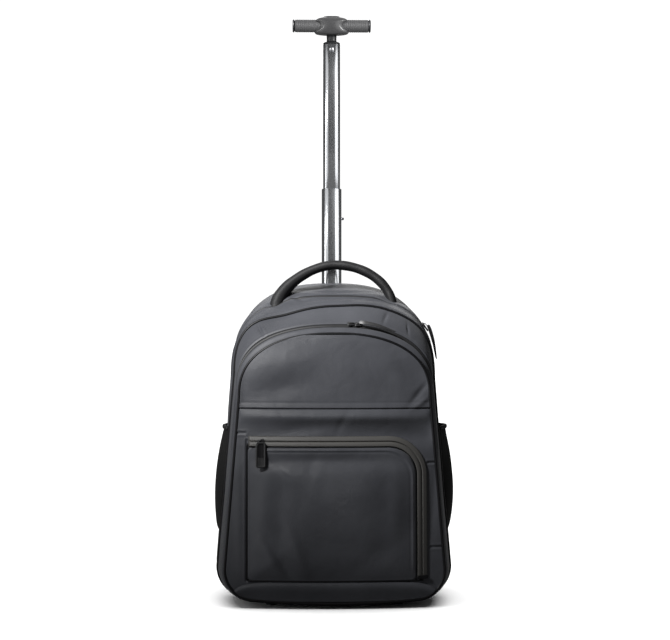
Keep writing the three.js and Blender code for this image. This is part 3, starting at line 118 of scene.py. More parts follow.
def add_node(tree, kind, inputs=None, **settings):
    """A node of a kind with its settings, and each input set to a value or linked to a socket."""
    node = tree.nodes.new("ShaderNode" + kind)
    for name, value in settings.items():
        setattr(node, name, value)
    for name, value in (inputs or {}).items():
        if isinstance(value, bpy.types.NodeSocket):
            tree.links.new(value, node.inputs[name])
        else:
            node.inputs[name].default_value = value
    return node


def new_finish(name, colour, roughness, **sockets):
    """A material of one shader with constant sockets, to which a pattern is then linked."""
    finish = bpy.data.materials.new(name)
    finish.use_nodes = True
    tree = finish.node_tree
    tree.nodes.clear()
    values = {key.replace("_", " "): value for key, value in sockets.items()}
    shader = add_node(
        tree, "BsdfPrincipled", {"Base Color": linear(colour), "Roughness": roughness, **values}
    )
    add_node(tree, "OutputMaterial", {"Surface": shader.outputs[0]})
    return finish


def softbox(name, at, size, watts):
    """A rectangular light at a place, turned to the bag at a height 20 cm below its own."""
    light = bpy.data.lights.new("softbox_" + name, "AREA")
    light.shape = "RECTANGLE"
    light.size, light.size_y = size
    light.energy = watts
    holder = bpy.data.objects.new("softbox_" + name, light)
    aim(holder, at, (0, 0.1, at[2] - 0.2))
    return holder


def aim(holder, at, target):
    """Put a light in its place and turn its face, which looks down, to the target."""
    way = np.array(target) - np.array(at)
    turn = math.atan2(way[1], way[0]) - math.pi / 2
    tilt = math.atan2(math.hypot(way[0], way[1]), -way[2])
    holder.location = at
    holder.rotation_euler = (tilt, 0, turn)
    bpy.context.collection.objects.link(holder)


boxes = {row[0]: softbox(*row) for row in SOFTBOXES}
key = bpy.data.objects.new("key", bpy.data.lights.new("key", "SPOT"))
key.data.energy = KEY_WATTS
key.data.spot_size = math.radians(KEY_CONE)
key.data.spot_blend = 1
key.data.shadow_soft_size = 0.2
aim(key, KEY_PLACE, KEY_AIM)
SUNS = [
    # name, strength, spread and tilt back in degrees
    ("overhead", 0.5, 60, -10),
    ("back_fill", 0.55, 40, -62),
    ("floor_light", 4.8, 76, -3),
]
suns = {}
for name, strength, spread, tilt in SUNS:
    sun = bpy.data.objects.new(name, bpy.data.lights.new(name, "SUN"))
    sun.data.energy = strength
    sun.data.angle = math.radians(spread)
    sun.rotation_euler = (math.radians(tilt), 0, 0)
    bpy.context.collection.objects.link(sun)
    suns[name] = sun

SCENE.world = bpy.data.worlds.new("white_room")
SCENE.world.use_nodes = True
tree = SCENE.world.node_tree
tree.nodes.clear()
path = add_node(tree, "LightPath")
seen = add_node(tree, "Background", {"Color": (1, 1, 1, 1), "Strength": 1.1})
lit = add_node(tree, "Background", {"Color": (1, 1, 1, 1), "Strength": 0.11})
both = add_node(tree, "MixShader", {0: path.outputs["Is Camera Ray"]})
tree.links.new(lit.outputs[0], both.inputs[1])
tree.links.new(seen.outputs[0], both.inputs[2])
add_node(tree, "OutputWorld", {"Surface": both.outputs[0]})
SCENE.view_settings.view_transform = "Standard"

around = np.linspace(0, 2 * np.pi, 97)[:-1]
disc = bpy.data.meshes.new("studio_floor")
disc.from_pydata(
    (np.stack([np.cos(around), np.sin(around), 0 * around], -1) * FLOOR_RADIUS).tolist(),
    [],
    [list(range(96))],
)
studio_floor = bpy.data.objects.new("studio_floor", disc)
bpy.context.collection.objects.link(studio_floor)
# White paper sweep, white only to the camera: a Light Path node gives it 0.93 for camera rays and
# 0.12 for all other rays, so little of the floor's light comes back up to the bag. The 0.12 is
# painted shade in place of black flags round the bag.
paper = new_finish("matt_white_paper", "f7f7f7", 0.9, Specular_IOR_Level=0.1)
tree = paper.node_tree
path = add_node(tree, "LightPath")
painted_bounce_shade = add_node(
    tree, "MapRange", {"Value": path.outputs["Is Camera Ray"], "To Min": 0.12, "To Max": 0.93}
)
tree.links.new(painted_bounce_shade.outputs[0], tree.nodes["Principled BSDF"].inputs["Base Color"])
disc.materials.append(paper)
studio_floor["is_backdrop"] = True


def choose(light, state, things):
    """Keep a light off some things, or on them alone, as a flag or a grid does."""
    chosen = bpy.data.collections.new("chosen_by_" + light.name)
    light.light_linking.receiver_collection = chosen
    for thing in things:
        chosen.objects.link(thing)
    for row in chosen.collection_objects:
        row.light_linking.link_state = state


choose(suns["overhead"], "EXCLUDE", [studio_floor])
choose(suns["back_fill"], "EXCLUDE", [studio_floor])
choose(suns["floor_light"], "INCLUDE", [studio_floor])

camera = bpy.data.objects.new("camera", bpy.data.cameras.new("camera"))
camera.data.sensor_width = SENSOR
camera.data.lens = FOCAL_PIXELS * SENSOR / FRAME_PIXELS
camera.data.clip_end = 100
camera.location = (
    -CAMERA_DISTANCE * math.sin(CAMERA_TURN),
    FACE_Y - CAMERA_DISTANCE * math.cos(CAMERA_TURN),
    CAMERA_HEIGHT,
)
camera.rotation_euler = (math.pi / 2, 0, -CAMERA_TURN)
bpy.context.collection.objects.link(camera)
SCENE.camera = camera


# The gusset of the main compartment: one long band of coated polyester twill round the sides, top
# and foot. It is cut flat and sewn to the panels, so it leans and sags where nothing fills it.
MM = 0.001
BAG_HEIGHT = 490
BAG_WIDTH = 366
BAG_DEPTH = 190
ORIGIN_DEPTH = 109.1008
CLOTH = 2
SEAM_ROOM = 2.8
DIVIDER_DEPTH = 0.305 * BAG_DEPTH
SOFTEN = 10
MAIN_ZIP_DEPTH = 0.526 * BAG_DEPTH
ORGANISER_ZIP_DEPTH = 13
COLUMNS_AROUND = 408
SECTION_COLUMNS = (
    "deep", "lean", "bow", "foot", "sag", "shoulder", "top", "corner", "wide_foot", "wide_shoulder",
    "power",
)
SECTIONS = np.array([
    (0, 0.158, 0.074, 0.012, 0.01, 0.645, 0.841, 0.25, 0.913, 0.797, 2.35),
    (0.158, 0.105, 0.047, 0.005, 0.01, 0.694, 0.89, 0.25, 0.956, 0.826, 2.6),
    (0.305, 0.063, 0.026, 0.008, 0.01, 0.72, 0.922, 0.25, 0.973, 0.836, 2.8),
    (0.59, 0.021, 0, 0.018, 0.01, 0.7, 0.973, 0.25, 1, 0.885, 2.5),
    (0.674, 0.01, 0, 0.024, 0.006, 0.7, 0.979, 0.25, 0.995, 0.884, 2.5),
    (0.768, 0, 0, 82 / 490, 0, 0.7, 0.986, 0.22, 0.95, 0.876, 2.55),
    (1, 0, 0, 82 / 490, 0, 0.7, 1, 0.22, 0.918, 0.852, 2.6),
])
DENTS = [
    # around, deep, how far each spreads, and how far in as a share of the height
    ("left_shoulder", 0.57, 0.29, 0.05, 0.14, 0.016),
    ("right_crest", 0.46, 0.3, 0.05, 0.16, -0.006),
    ("right_flank", 0.27, 0.45, 0.06, 0.2, 0.006),
    ("left_flank", 0.73, 0.45, 0.06, 0.2, 0.006),
    ("top_fold", 0.5, 0.48, 0.07, 0.07, 0.008),
]
CREASES = [
    # around, depth in mm, length and width in mm, turn from round the bag in degrees, out in mm
    ("left_top", 0.628, 34, 14, 4, 66, -2.6),
    ("left_top_ridge", 0.62, 34, 14, 5, 66, 1.4),
    ("right_top", 0.428, 38, 12, 4, 100, -2.2),
    ("right_shoulder", 0.374, 34, 12, 4, 60, -2.4),
    ("before_left_foot", 0.585, 100, 26, 12, 4, -5),
    ("before_right_foot", 0.42, 104, 24, 12, -4, -3),
    ("crown_front", 0.51, 78, 60, 4, 5, 1.9),
    ("crown_middle", 0.535, 90, 30, 5, 24, -2.0),
    ("crown_back", 0.49, 112, 60, 7, -3, -1.7),
    ("crown_low", 0.52, 134, 50, 8, 6, -1.4),
    ("left_side", 0.7, 120, 60, 12, 30, -2.0),
    ("right_side", 0.31, 125, 60, 12, -28, -2.0),
    ("right_low", 0.2, 90, 50, 10, 60, -1.6),
    ("left_low", 0.8, 90, 50, 10, -60, -1.6),
]
AROUND_LENGTH = 1390


def section(deep):
    """Each column of the table blended at a share of the depth, and averaged 10 mm to each side."""
    near = np.minimum(np.minimum(deep, 1 - deep), SOFTEN / BAG_DEPTH)
    steps = (-1, -0.5, 0, 0.5, 1)
    return {
        name: sum(np.interp(deep + near * k, SECTIONS[:, 0], SECTIONS[:, n]) for k in steps) / 5
        for n, name in enumerate(SECTION_COLUMNS)
    }


def outline(around, deep):
    """x, z and depth of the body at a share round it: a foot that sags with the square of x, a
    quarter circle, a straight side and an arch that is a quarter of a squarish ellipse."""
    row = section(deep)
    half = BAG_WIDTH / 2
    turn = around % 1
    step = 17 * (1 - np.abs(2 * turn - 1))
    corner = row["corner"] * half
    share = np.clip(step / 2, 0, 1)
    bend = np.clip((step - 2) / 3, 0, 1) * np.pi / 2
    climb = np.clip((step - 5) / 3, 0, 1)
    swing = np.clip((step - 8) / 9, 0, 1) * np.pi / 2
    x = share * (row["wide_foot"] * half - corner) + corner * np.sin(bend)
    z = BAG_HEIGHT * (row["foot"] + row["sag"] * share**2) + corner * (1 - np.cos(bend))
    x = x + (row["wide_shoulder"] * half - x) * climb
    z = z + (row["shoulder"] * BAG_HEIGHT - z) * climb
    squareness = 2 / row["power"]
    x = x * np.clip(np.cos(swing), 0, 1) ** squareness
    z = z + (row["top"] - row["shoulder"]) * BAG_HEIGHT * np.sin(swing) ** squareness
    bow = row["bow"] * (1 - (x / (row["wide_foot"] * half)) ** 2)
    depth = BAG_DEPTH * (deep + row["lean"] * z / BAG_HEIGHT - bow)
    return x * np.where(turn > 0.5, -1, 1), z, depth


def slack(around, depth):
    """How far the cloth stands out in mm: a bell for each dent and a long bell for each crease."""
    deep = depth / BAG_DEPTH
    out = np.zeros(np.broadcast(around, depth).shape)
    for _, middle, at, wide, long, share in DENTS:
        out = out - share * BAG_HEIGHT * np.exp(
            -(((around - middle) / wide) ** 2) - ((deep - at) / long) ** 2
        )
    for _, middle, at, long, wide, turn, proud in CREASES:
        x = (around - middle) * AROUND_LENGTH
        y = depth - at
        angle = math.radians(turn)
        along = x * math.cos(angle) + y * math.sin(angle)
        aside = y * math.cos(angle) - x * math.sin(angle) - 0.004 * along**2
        out = out + proud * np.exp(-((along / long) ** 2) - (aside / wide) ** 2)
    return out


def skin(around, depth, lift=0.0):
    """A point of the body's skin: the outline moved square to itself by the slack and the lift."""
    around, depth, lift = np.broadcast_arrays(around, depth, lift)
    deep = depth / BAG_DEPTH
    x, z, at = outline(around, deep)
    before_x, before_z, _ = outline(around - 0.008, deep)
    after_x, after_z, _ = outline(around + 0.008, deep)
    over_x, over_z = after_x - before_x, after_z - before_z
    out = (lift + slack(around, depth)) / np.hypot(over_x, over_z)
    return np.stack([x + out * over_z, at - ORIGIN_DEPTH, z - out * over_x], -1)


def surface(name, points, round_rows=False, round_columns=False, caps=False, inside=None):
    """A quad mesh through rows and columns of points in mm. Its UVs are the mean distances along
    both, in metres. The sum of each face's normal times its way from the inside is positive."""
    rows, columns = points.shape[:2]
    flat = points.reshape(-1, 3) * MM
    r, c = np.indices((rows - (not round_rows), columns - (not round_columns)))
    down = np.stack([r, r, r + 1, r + 1], -1).reshape(-1, 4)
    right = np.stack([c, c + 1, c + 1, c], -1).reshape(-1, 4)
    quads = down % rows * columns + right % columns
    gone = []
    for axis in (0, 1):
        part = np.linalg.norm(np.roll(points, -1, axis) - points, axis=-1).mean(1 - axis)
        gone.append(np.concatenate([[0], np.cumsum(part)]) * MM)
    uv = np.stack([gone[1][right], gone[0][down]], -1)
    normal = np.cross(flat[quads[:, 2]] - flat[quads[:, 0]], flat[quads[:, 3]] - flat[quads[:, 1]])
    start = flat.mean(axis=0) if inside is None else np.array(inside) * MM
    ends = [list(range(columns))[::-1], list(range((rows - 1) * columns, rows * columns))]
    if ((flat[quads].mean(axis=1) - start) * normal).sum() < 0:
        quads, uv = quads[:, ::-1], uv[:, ::-1]
        ends = [end[::-1] for end in ends]
    faces = quads.tolist() + (ends if caps else [])
    uv = np.concatenate([uv.reshape(-1), np.zeros(4 * columns if caps else 0)])
    mesh = bpy.data.meshes.new(name)
    mesh.from_pydata(flat.tolist(), [], faces)
    mesh.uv_layers.new(name="weave").data.foreach_set("uv", uv)
    mesh.shade_smooth()
    piece = bpy.data.objects.new(name, mesh)
    bpy.context.collection.objects.link(piece)
    return piece


def thicken(piece, thick):
    """Solidify inwards, for a wall of cloth."""
    wall = piece.modifiers.new("wall", "SOLIDIFY")
    wall.thickness = thick * MM
    wall.offset = -1


def bell(distance, wide):
    """1 in the middle, falling off with the square of the distance over the width."""
    return np.exp(-((distance / wide) ** 2))


def channel(depth, middle, around, start, half):
    """How far the cloth sinks beside a zip, with a turned edge that stands up along each tape."""
    runs = np.clip((np.minimum(around, 1 - around) * 34 - start) * 6 + 1, 0, 1)
    aside = np.abs(depth - middle)
    sunk = -1.9 / (1 + np.exp((aside - half) * 4))
    return runs * (sunk + 0.9 * bell(aside - half - 1.6, 1.5))


# Coated polyester twill: tight diagonal threads under a thin coat, so it is dull but takes a soft
# shine on its crests. The real threads are .5 mm apart and are drawn at 1.1 mm so that they show.
cloth_finish = new_finish(
    "coated_polyester_twill", "3b3c40", 0.5, Specular_IOR_Level=0.22, Sheen_Weight=0.06,
    Sheen_Roughness=0.45,
)
tree = cloth_finish.node_tree
shader = tree.nodes["Principled BSDF"]
uv = add_node(tree, "UVMap", uv_map="weave")
turned = add_node(tree, "Mapping", {"Vector": uv.outputs[0], "Rotation": (0, 0, math.radians(52))})
threads = add_node(
    tree, "TexWave", {"Vector": turned.outputs[0], "Scale": 285, "Distortion": 0.4, "Detail": 1}
)
place = add_node(tree, "TexCoord")
tones = add_node(tree, "TexNoise", {"Vector": place.outputs["Object"], "Scale": 11, "Detail": 3})
ramp = add_node(tree, "ValToRGB", {"Fac": tones.outputs["Fac"]})
ramp.color_ramp.elements[0].position = 0.3
ramp.color_ramp.elements[0].color = linear("2e2f33")
ramp.color_ramp.elements[1].position = 0.7
ramp.color_ramp.elements[1].color = linear("38393d")
tree.links.new(ramp.outputs[0], shader.inputs["Base Color"])
rumple = add_node(
    tree, "TexNoise", {"Vector": place.outputs["Object"], "Scale": 26, "Detail": 2, "Distortion": 0.3}
)
broad = add_node(
    tree, "Bump", {"Height": rumple.outputs["Fac"], "Strength": 0.3, "Distance": 0.005}
)
fine = add_node(
    tree,
    "Bump",
    {"Height": threads.outputs["Fac"], "Strength": 0.5, "Distance": 0.00012,
     "Normal": broad.outputs[0]},
)
tree.links.new(fine.outputs[0], shader.inputs["Normal"])

INSIDE = (0, 0, 240)
around = np.linspace(0, 1, COLUMNS_AROUND + 1)[None, :-1]


def fit(piece, finish, node=None, body="bag"):
    """A piece's finish, the body that it rides on, and the solid that it stands for, which is hidden.
    """
    piece.data.materials.append(finish)
    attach(piece, body)
    if node:
        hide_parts(node)


def gusset(name, front, back, zip_depth, zip_start, half):
    """The skin between two depths, sunk along its zip, with a turned welt behind its front seam."""
    depth = np.linspace(front, back, int((back - front) / 1.2))[:, None]
    welt = 1.5 * bell(depth - front - 5.5, 2.4) - 0.7 * bell(depth - front - 10.5, 1.8)
    points = skin(around, depth, channel(depth, zip_depth, around, zip_start, half) + welt)
    piece = surface(name, points, round_columns=True, inside=INSIDE)
    thicken(piece, CLOTH)
    fit(piece, cloth_finish)
    return piece


# The main zip hides between its turned edges over the crown, and opens out on the flanks.
main_slot = 2.2 + 2.6 * np.clip((np.abs(around - 0.5) - 0.09) / 0.03, 0, 1)
main_gusset = gusset(
    "gusset_of_main", DIVIDER_DEPTH + 1.6, BAG_DEPTH, MAIN_ZIP_DEPTH, 8, main_slot
)
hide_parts("main_gusset")


# The gusset of the organiser: a narrower band of the same twill in front of the divider seam,
# with the organiser's zip let in close behind the front piping.
organiser_gusset = gusset(
    "gusset_of_organiser", 0, DIVIDER_DEPTH - 1.6, ORGANISER_ZIP_DEPTH, 7, 3.6
)
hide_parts("organiser_gusset")


# The front face: two panels of the same twill, the upper one turned under and topstitched over the
# lower one at the seam. Nothing fills the organiser, so the cloth hangs in long soft waves.
SEAM_HEIGHT = 0.612 * BAG_HEIGHT
FACE_SEAM = 3.8
FACE_CROWN = 8
PANEL_INSET = 3.6
FRONT = dict(zip(SECTION_COLUMNS, SECTIONS[0]))
FACE_FOLDS = [
    # x and z of the middle, length and width in mm, turn from level in degrees, out in mm
    ("upper_left_swell", -70, 372, 70, 26, 18, 3.0),
    ("upper_left_hollow", -84, 327, 46, 16, 14, -2.4),
    ("upper_right_hollow", 118, 348, 38, 15, -38, -3.4),
    ("upper_middle", 20, 350, 80, 24, -6, 1.6),
    ("seam_ridge", 0, 286, 170, 9, 0, 4.6),
    ("under_seam_right", 74, 259, 78, 16, -2, -6.5),
    ("under_seam_left", -64, 266, 56, 10, 4, -2.2),
    ("under_seam_pinch", 10, 276, 20, 6, 62, -0.7),
    ("right_radiating", 134, 309, 18, 4, 34, 2.0),
    ("right_radiating_high", 128, 322, 20, 4, 48, -1.8),
    ("right_radiating_low", 146, 288, 12, 3, -30, 1.6),
    ("left_edge_hollow", -140, 340, 10, 34, 0, -1.6),
    ("right_strip_hollow", 151, 170, 60, 7, 84, -1.8),
    ("left_strip_swell", -146, 150, 90, 7, 92, 1.4),
]
# Short seams across the strips at both sides of the pocket, and the seam down its left side.
FACE_SEAMS = [
    # x and z of the middle, half length along x and along z in mm
    ("left_strip", -152, 261.5, 17, 0), ("right_high", 156, 216.5, 16, 0),
    ("right_low", 158, 90.5, 16, 0), ("pocket_left", -132.2, 146, 0, 104),
]
half_around = np.linspace(0, 0.5, 600)
FRONT_X, FRONT_Z, _ = outline(half_around, np.zeros(600))


def front_half_width(z):
    """Half the width of the front outline at a height, read off the outline itself."""
    return np.maximum(np.interp(z, FRONT_Z, FRONT_X), 1)


def folded(x, z, folds):
    """The sum of a long bell for each fold."""
    out = 0 * x
    for _, middle_x, middle_z, long, wide, turn, proud in folds:
        angle = math.radians(turn)
        run = (x - middle_x) * math.cos(angle) + (z - middle_z) * math.sin(angle)
        aside = (z - middle_z) * math.cos(angle) - (x - middle_x) * math.sin(angle)
        out = out + proud * bell(run, long) * bell(aside, wide)
    return out


def face(x, z, lift=0.0, waves=1.0):
    """The front's cloth: its leaning, bowed plane, crowned by 1 - across^2.5 times 1 - along^4,
    with a long bell for each fold."""
    bow = FRONT["bow"] * (1 - (x / (FRONT["wide_foot"] * BAG_WIDTH / 2)) ** 2)
    low, high = FRONT["foot"] * BAG_HEIGHT, FRONT["top"] * BAG_HEIGHT
    across = np.minimum(np.abs(x) / front_half_width(z), 1)
    along = np.minimum(np.abs(z - (low + high) / 2) / ((high - low) / 2), 1)
    crown = FACE_CROWN * (1 - across**2.5) * (1 - along**4)
    depth = BAG_DEPTH * (FRONT["lean"] * z / BAG_HEIGHT - bow) - FACE_SEAM - crown - lift
    depth = depth - waves * folded(x, z, FACE_FOLDS)
    return np.stack([x + 0 * depth, depth - ORIGIN_DEPTH, z + 0 * depth], -1)


def sewn_down(x, z):
    """A groove 1.5 mm deep along each short seam, with the cloth puckered up at both sides."""
    out = 0 * x + 0 * z
    for _, middle_x, middle_z, half_x, half_z in FACE_SEAMS:
        past_x = (np.abs(x - middle_x) - half_x).clip(0)
        past_z = (np.abs(z - middle_z) - half_z).clip(0)
        away = np.hypot(past_x, past_z)
        out = out - 1.5 * bell(away, 1.6) + 0.4 * bell(away - 3.6, 1.6)
    return out


def face_panel(name, heights, lift):
    """The front's cloth between heights, from edge to edge of the outline less the seam."""
    across = np.linspace(-1, 1, 260)[None, :]
    z = heights[:, None]
    x = across * np.maximum(front_half_width(z) - PANEL_INSET, 2)
    edge = 1 - np.abs(across) ** 24
    panel = surface(name, face(x, z, lift(x, z), waves=edge), inside=INSIDE)
    thicken(panel, CLOTH)
    fit(panel, cloth_finish)
    return panel


shoulder = FRONT["shoulder"] * BAG_HEIGHT
arch = FRONT["top"] * BAG_HEIGHT - shoulder - PANEL_INSET
swing = np.linspace(0.02, np.pi / 2 - 0.04, 70)
upper_heights = np.concatenate([
    np.linspace(SEAM_HEIGHT - 1, shoulder, 12),
    shoulder + arch * np.sin(swing) ** (2 / FRONT["power"]),
])
front_upper_panel = face_panel(
    "upper_front_panel", upper_heights,
    lambda x, z: 0.5 * bell(z - SEAM_HEIGHT, 5) - 0.4 * bell(z - SEAM_HEIGHT - 7, 1.4) + 0.5,
)
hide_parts("front_upper_panel")
lower_heights = np.linspace(FRONT["foot"] * BAG_HEIGHT + PANEL_INSET + 1, SEAM_HEIGHT, 240)
front_lower_panel = face_panel(
    "lower_front_panel", lower_heights,
    lambda x, z: sewn_down(x, z) - 1.8 * bell(z - SEAM_HEIGHT + 1, 1.6),
)
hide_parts("front_lower_panel")


# The black piping in the three seams round the body: a cotton cord folded into a strip of coated
# cloth and caught in the seam, so it runs round as one smooth shining line.
PIPING = 4.4
PIPING_LOOK = 5.2


def carried(path, profile, across, closed=False):
    """A profile carried along a path: each point is the path's, plus the profile's first number
    along the across way made square to the path, plus its second square to both."""
    before, after = (np.roll(path, 1, 0), np.roll(path, -1, 0))
    along = after - before if closed else np.gradient(path, axis=0)
    along = along / np.linalg.norm(along, axis=-1, keepdims=True)
    across = np.broadcast_to(across, path.shape)
    side = across - (across * along).sum(-1, keepdims=True) * along
    side = side / np.linalg.norm(side, axis=-1, keepdims=True)
    up = np.cross(along, side)
    profile = np.broadcast_to(profile, (len(path), *profile.shape[-2:]))
    return (
        path[:, None, :]
        + profile[..., 0:1] * side[:, None, :]
        + profile[..., 1:2] * up[:, None, :]
    )


def oval(wide, deep, power=2, count=12):
    """Points round a squarish ellipse: each half size times the cosine or sine to 2 / power."""
    angle = np.linspace(0, 2 * np.pi, count + 1)[:-1]
    bend = lambda value: np.sign(value) * np.abs(value) ** (2 / power)
    return np.stack([wide / 2 * bend(np.cos(angle)), deep / 2 * bend(np.sin(angle))], -1)


# Coated piping cloth, nearly black: its coat gives a soft line of light along the top of the cord.
piping_finish = new_finish("coated_piping_cloth", "08080a", 0.45, Specular_IOR_Level=0.18)
tree = piping_finish.node_tree
uv = add_node(tree, "UVMap", uv_map="weave")
threads = add_node(tree, "TexWave", {"Vector": uv.outputs[0], "Scale": 262, "Distortion": 0.5})
fine = add_node(
    tree, "Bump", {"Height": threads.outputs["Fac"], "Strength": 0.4, "Distance": 0.0001}
)
tree.links.new(fine.outputs[0], tree.nodes["Principled BSDF"].inputs["Normal"])

ring = np.linspace(0, 1, COLUMNS_AROUND + 1)[:-1]
for name, depth, lift, shift in [
    ("front", 0, -PIPING / 2, -SEAM_ROOM),
    ("divider", DIVIDER_DEPTH, 2.2 - PIPING / 2, 0),
    ("back", BAG_DEPTH, -PIPING / 2, SEAM_ROOM),
]:
    path = skin(ring, depth, lift) + np.array([0, shift, 0])
    points = carried(path, oval(PIPING_LOOK, PIPING_LOOK), (0, 1, 0), closed=True)
    piping = surface("piping_of_" + name, points, round_rows=True, round_columns=True)
    fit(piping, piping_finish, name + "_piping")


# The zips of both compartments: woven tape each side of a nylon coil, sewn into the gusset's slot.
# Each runs from low on one flank over the top to low on the other.
ZIP_WIDTH = 8
COIL_PITCH = 1.6
zip_finish = new_finish("woven_zip_tape", "121213", 0.7, Specular_IOR_Level=0.2)
tree = zip_finish.node_tree
uv = add_node(tree, "UVMap", uv_map="weave")
threads = add_node(
    tree, "TexWave", {"Vector": uv.outputs[0], "Scale": 314, "Distortion": 0.2},
    bands_direction="Y",
)
fine = add_node(
    tree, "Bump", {"Height": threads.outputs["Fac"], "Strength": 0.5, "Distance": 0.00015}
)
tree.links.new(fine.outputs[0], tree.nodes["Principled BSDF"].inputs["Normal"])
# Nylon coil, dyed black: smooth rounded turns, each with its own small light.
coil_finish = new_finish("nylon_zip_coil", "131314", 0.5, Specular_IOR_Level=0.3)
tree = coil_finish.node_tree
place = add_node(tree, "TexCoord")
specks = add_node(tree, "TexNoise", {"Vector": place.outputs["Object"], "Scale": 900})
rough = add_node(
    tree, "MapRange", {"Value": specks.outputs["Fac"], "To Min": 0.42, "To Max": 0.6}
)
tree.links.new(rough.outputs[0], tree.nodes["Principled BSDF"].inputs["Roughness"])

for name, middle, start in [
    ("organiser", ORGANISER_ZIP_DEPTH, 7),
    ("main", MAIN_ZIP_DEPTH, 8),
]:
    turn = np.linspace(start / 34, 1 - start / 34, 900)
    aside = np.array([-1, -0.9, -0.5, -0.32, 0.32, 0.5, 0.9, 1]) * ZIP_WIDTH / 2
    rise = np.array([-1.4, -0.7, -0.6, -0.5, -0.5, -0.6, -0.7, -1.4])
    tape = surface(
        "zip_tape_of_" + name,
        skin(turn[None, :], middle + aside[:, None], rise[:, None]),
        inside=INSIDE,
    )
    tape.data.materials.append(zip_finish)
    thicken(tape, 0.8)
    along = np.linspace(start / 34, 1 - start / 34, 2200)
    length = np.linalg.norm(np.diff(skin(along, middle), axis=0), axis=-1)
    gone = np.concatenate([[0], np.cumsum(length)])
    swell = 0.86 + 0.14 * np.cos(2 * np.pi * gone / COIL_PITCH)
    angle = np.linspace(0, np.pi, 8)[:, None]
    coil = surface(
        "zip_coil_of_" + name,
        skin(along, middle - 1.7 * np.cos(angle), -0.6 + 1.5 * swell * np.sin(angle)),
        inside=INSIDE,
    )
    coil.data.materials.append(coil_finish)
    coil.parent = tape
    for piece in (tape, coil):
        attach(piece, "bag")
    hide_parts(name + "_zip")


# The front pocket: a panel of the same twill, its edge turned out from the face and its middle
# puffed. It is sewn down at the left and the foot, and its zip runs over its top and right side.
POCKET_LEFT = -0.358 * BAG_WIDTH
POCKET_RIGHT = 0.3333 * BAG_WIDTH
POCKET_FOOT = 42
POCKET_TOP = 241
POCKET_CORNER = 8
POCKET_SHOULDER = 42
POCKET_EDGE = 7
POCKET_PUFF = 13
FACE_LIFT = 0.8
POCKET_FOLDS = [
    # x and z of the middle, length and width in mm, turn from level in degrees, out in mm
    ("top_hollow", -10, 221, 120, 12, 0, -5.5),
    ("below_hollow", -60, 196, 60, 14, -4, 0.9),
    ("top_pinch", -32, 222, 34, 9, 70, -0.6),
    ("top_pinch_ridge", -18, 218, 36, 10, 72, 0.4),
    ("left_swell", -108, 150, 62, 12, 86, 2.2),
    ("left_hollow", -82, 130, 60, 12, 88, -1.8),
    ("low_left_fold", -92, 70, 38, 8, -56, 3.4),
    ("low_left_hollow", -76, 64, 36, 8, -58, -3.2),
    ("low_left_second", -56, 84, 44, 9, -70, 2.8),
    ("low_right_hollow", 70, 84, 50, 18, 34, -2.4),
    ("right_swell", 92, 150, 60, 13, 88, 1.8),
    ("middle_wave", 4, 165, 80, 26, 12, 2.2),
    ("low_middle_wave", 20, 96, 80, 22, -8, -2.2),
]


def rounded(left, right, foot, top, small, wide, grow, count):
    """Points at even steps round a rectangle with three small corners and a wide one, top right,
    all grown by a distance. The walk starts at the foot of the left side."""
    corners = [(left, foot, small, 1), (right, foot, small, 1.5), (right, top, wide, 0),
               (left, top, small, 0.5)]
    arcs = []
    for x, z, radius, start in corners:
        turn = np.pi * (start + np.linspace(0, 0.5, 16))
        middle = (x + radius if x == left else x - radius, z + radius if z == foot else z - radius)
        arcs.append(np.array(middle) + (radius + grow) * np.stack([np.cos(turn), np.sin(turn)], -1))
    walk = np.concatenate([*arcs, arcs[0][:1]])
    gone = np.concatenate([[0], np.cumsum(np.linalg.norm(np.diff(walk, axis=0), axis=-1))])
    even = np.linspace(0, gone[-1], count + 1)[:-1]
    return np.stack([np.interp(even, gone, walk[:, k]) for k in (0, 1)], -1)


rim = rounded(
    POCKET_LEFT, POCKET_RIGHT, POCKET_FOOT, POCKET_TOP, POCKET_CORNER, POCKET_SHOULDER, 0, 420
)
middle = np.array([(POCKET_LEFT + POCKET_RIGHT) / 2, (POCKET_FOOT + POCKET_TOP) / 2])
share = np.concatenate([
    [0.01, 0.5, 0.99], 1 - 0.05 * np.linspace(0, 1, 22) ** 1.6, np.linspace(0.94, 0.01, 70)
])[:, None]
flat_back = np.arange(len(share))[:, None] < 3
x, z = (middle[k] + share * (rim[None, :, k] - middle[k]) for k in (0, 1))
sewn = np.maximum(bell(rim[None, :, 0] - POCKET_LEFT, 16), bell(rim[None, :, 1] - POCKET_FOOT, 16))
edge = POCKET_EDGE * (1 - 0.72 * sewn)
turned_edge = edge * np.sqrt(np.clip(1 - ((share - 0.968) / 0.032).clip(0) ** 2, 0, 1))
welt = (1 - sewn) * (0.7 * bell(share - 0.955, 0.012) - 0.6 * bell(share - 0.925, 0.01))
puff = (POCKET_PUFF + 1 - edge) * (1 - (share / 0.97).clip(0, 1) ** 2.6)
waves = folded(x, z, POCKET_FOLDS) * (1 - share**10)
pocket = surface(
    "pocket_panel",
    face(x, z, np.where(flat_back, 0, FACE_LIFT + turned_edge + welt + puff + waves), waves=0),
    round_columns=True, caps=True, inside=INSIDE,
)
fit(pocket, cloth_finish, "front_pocket")
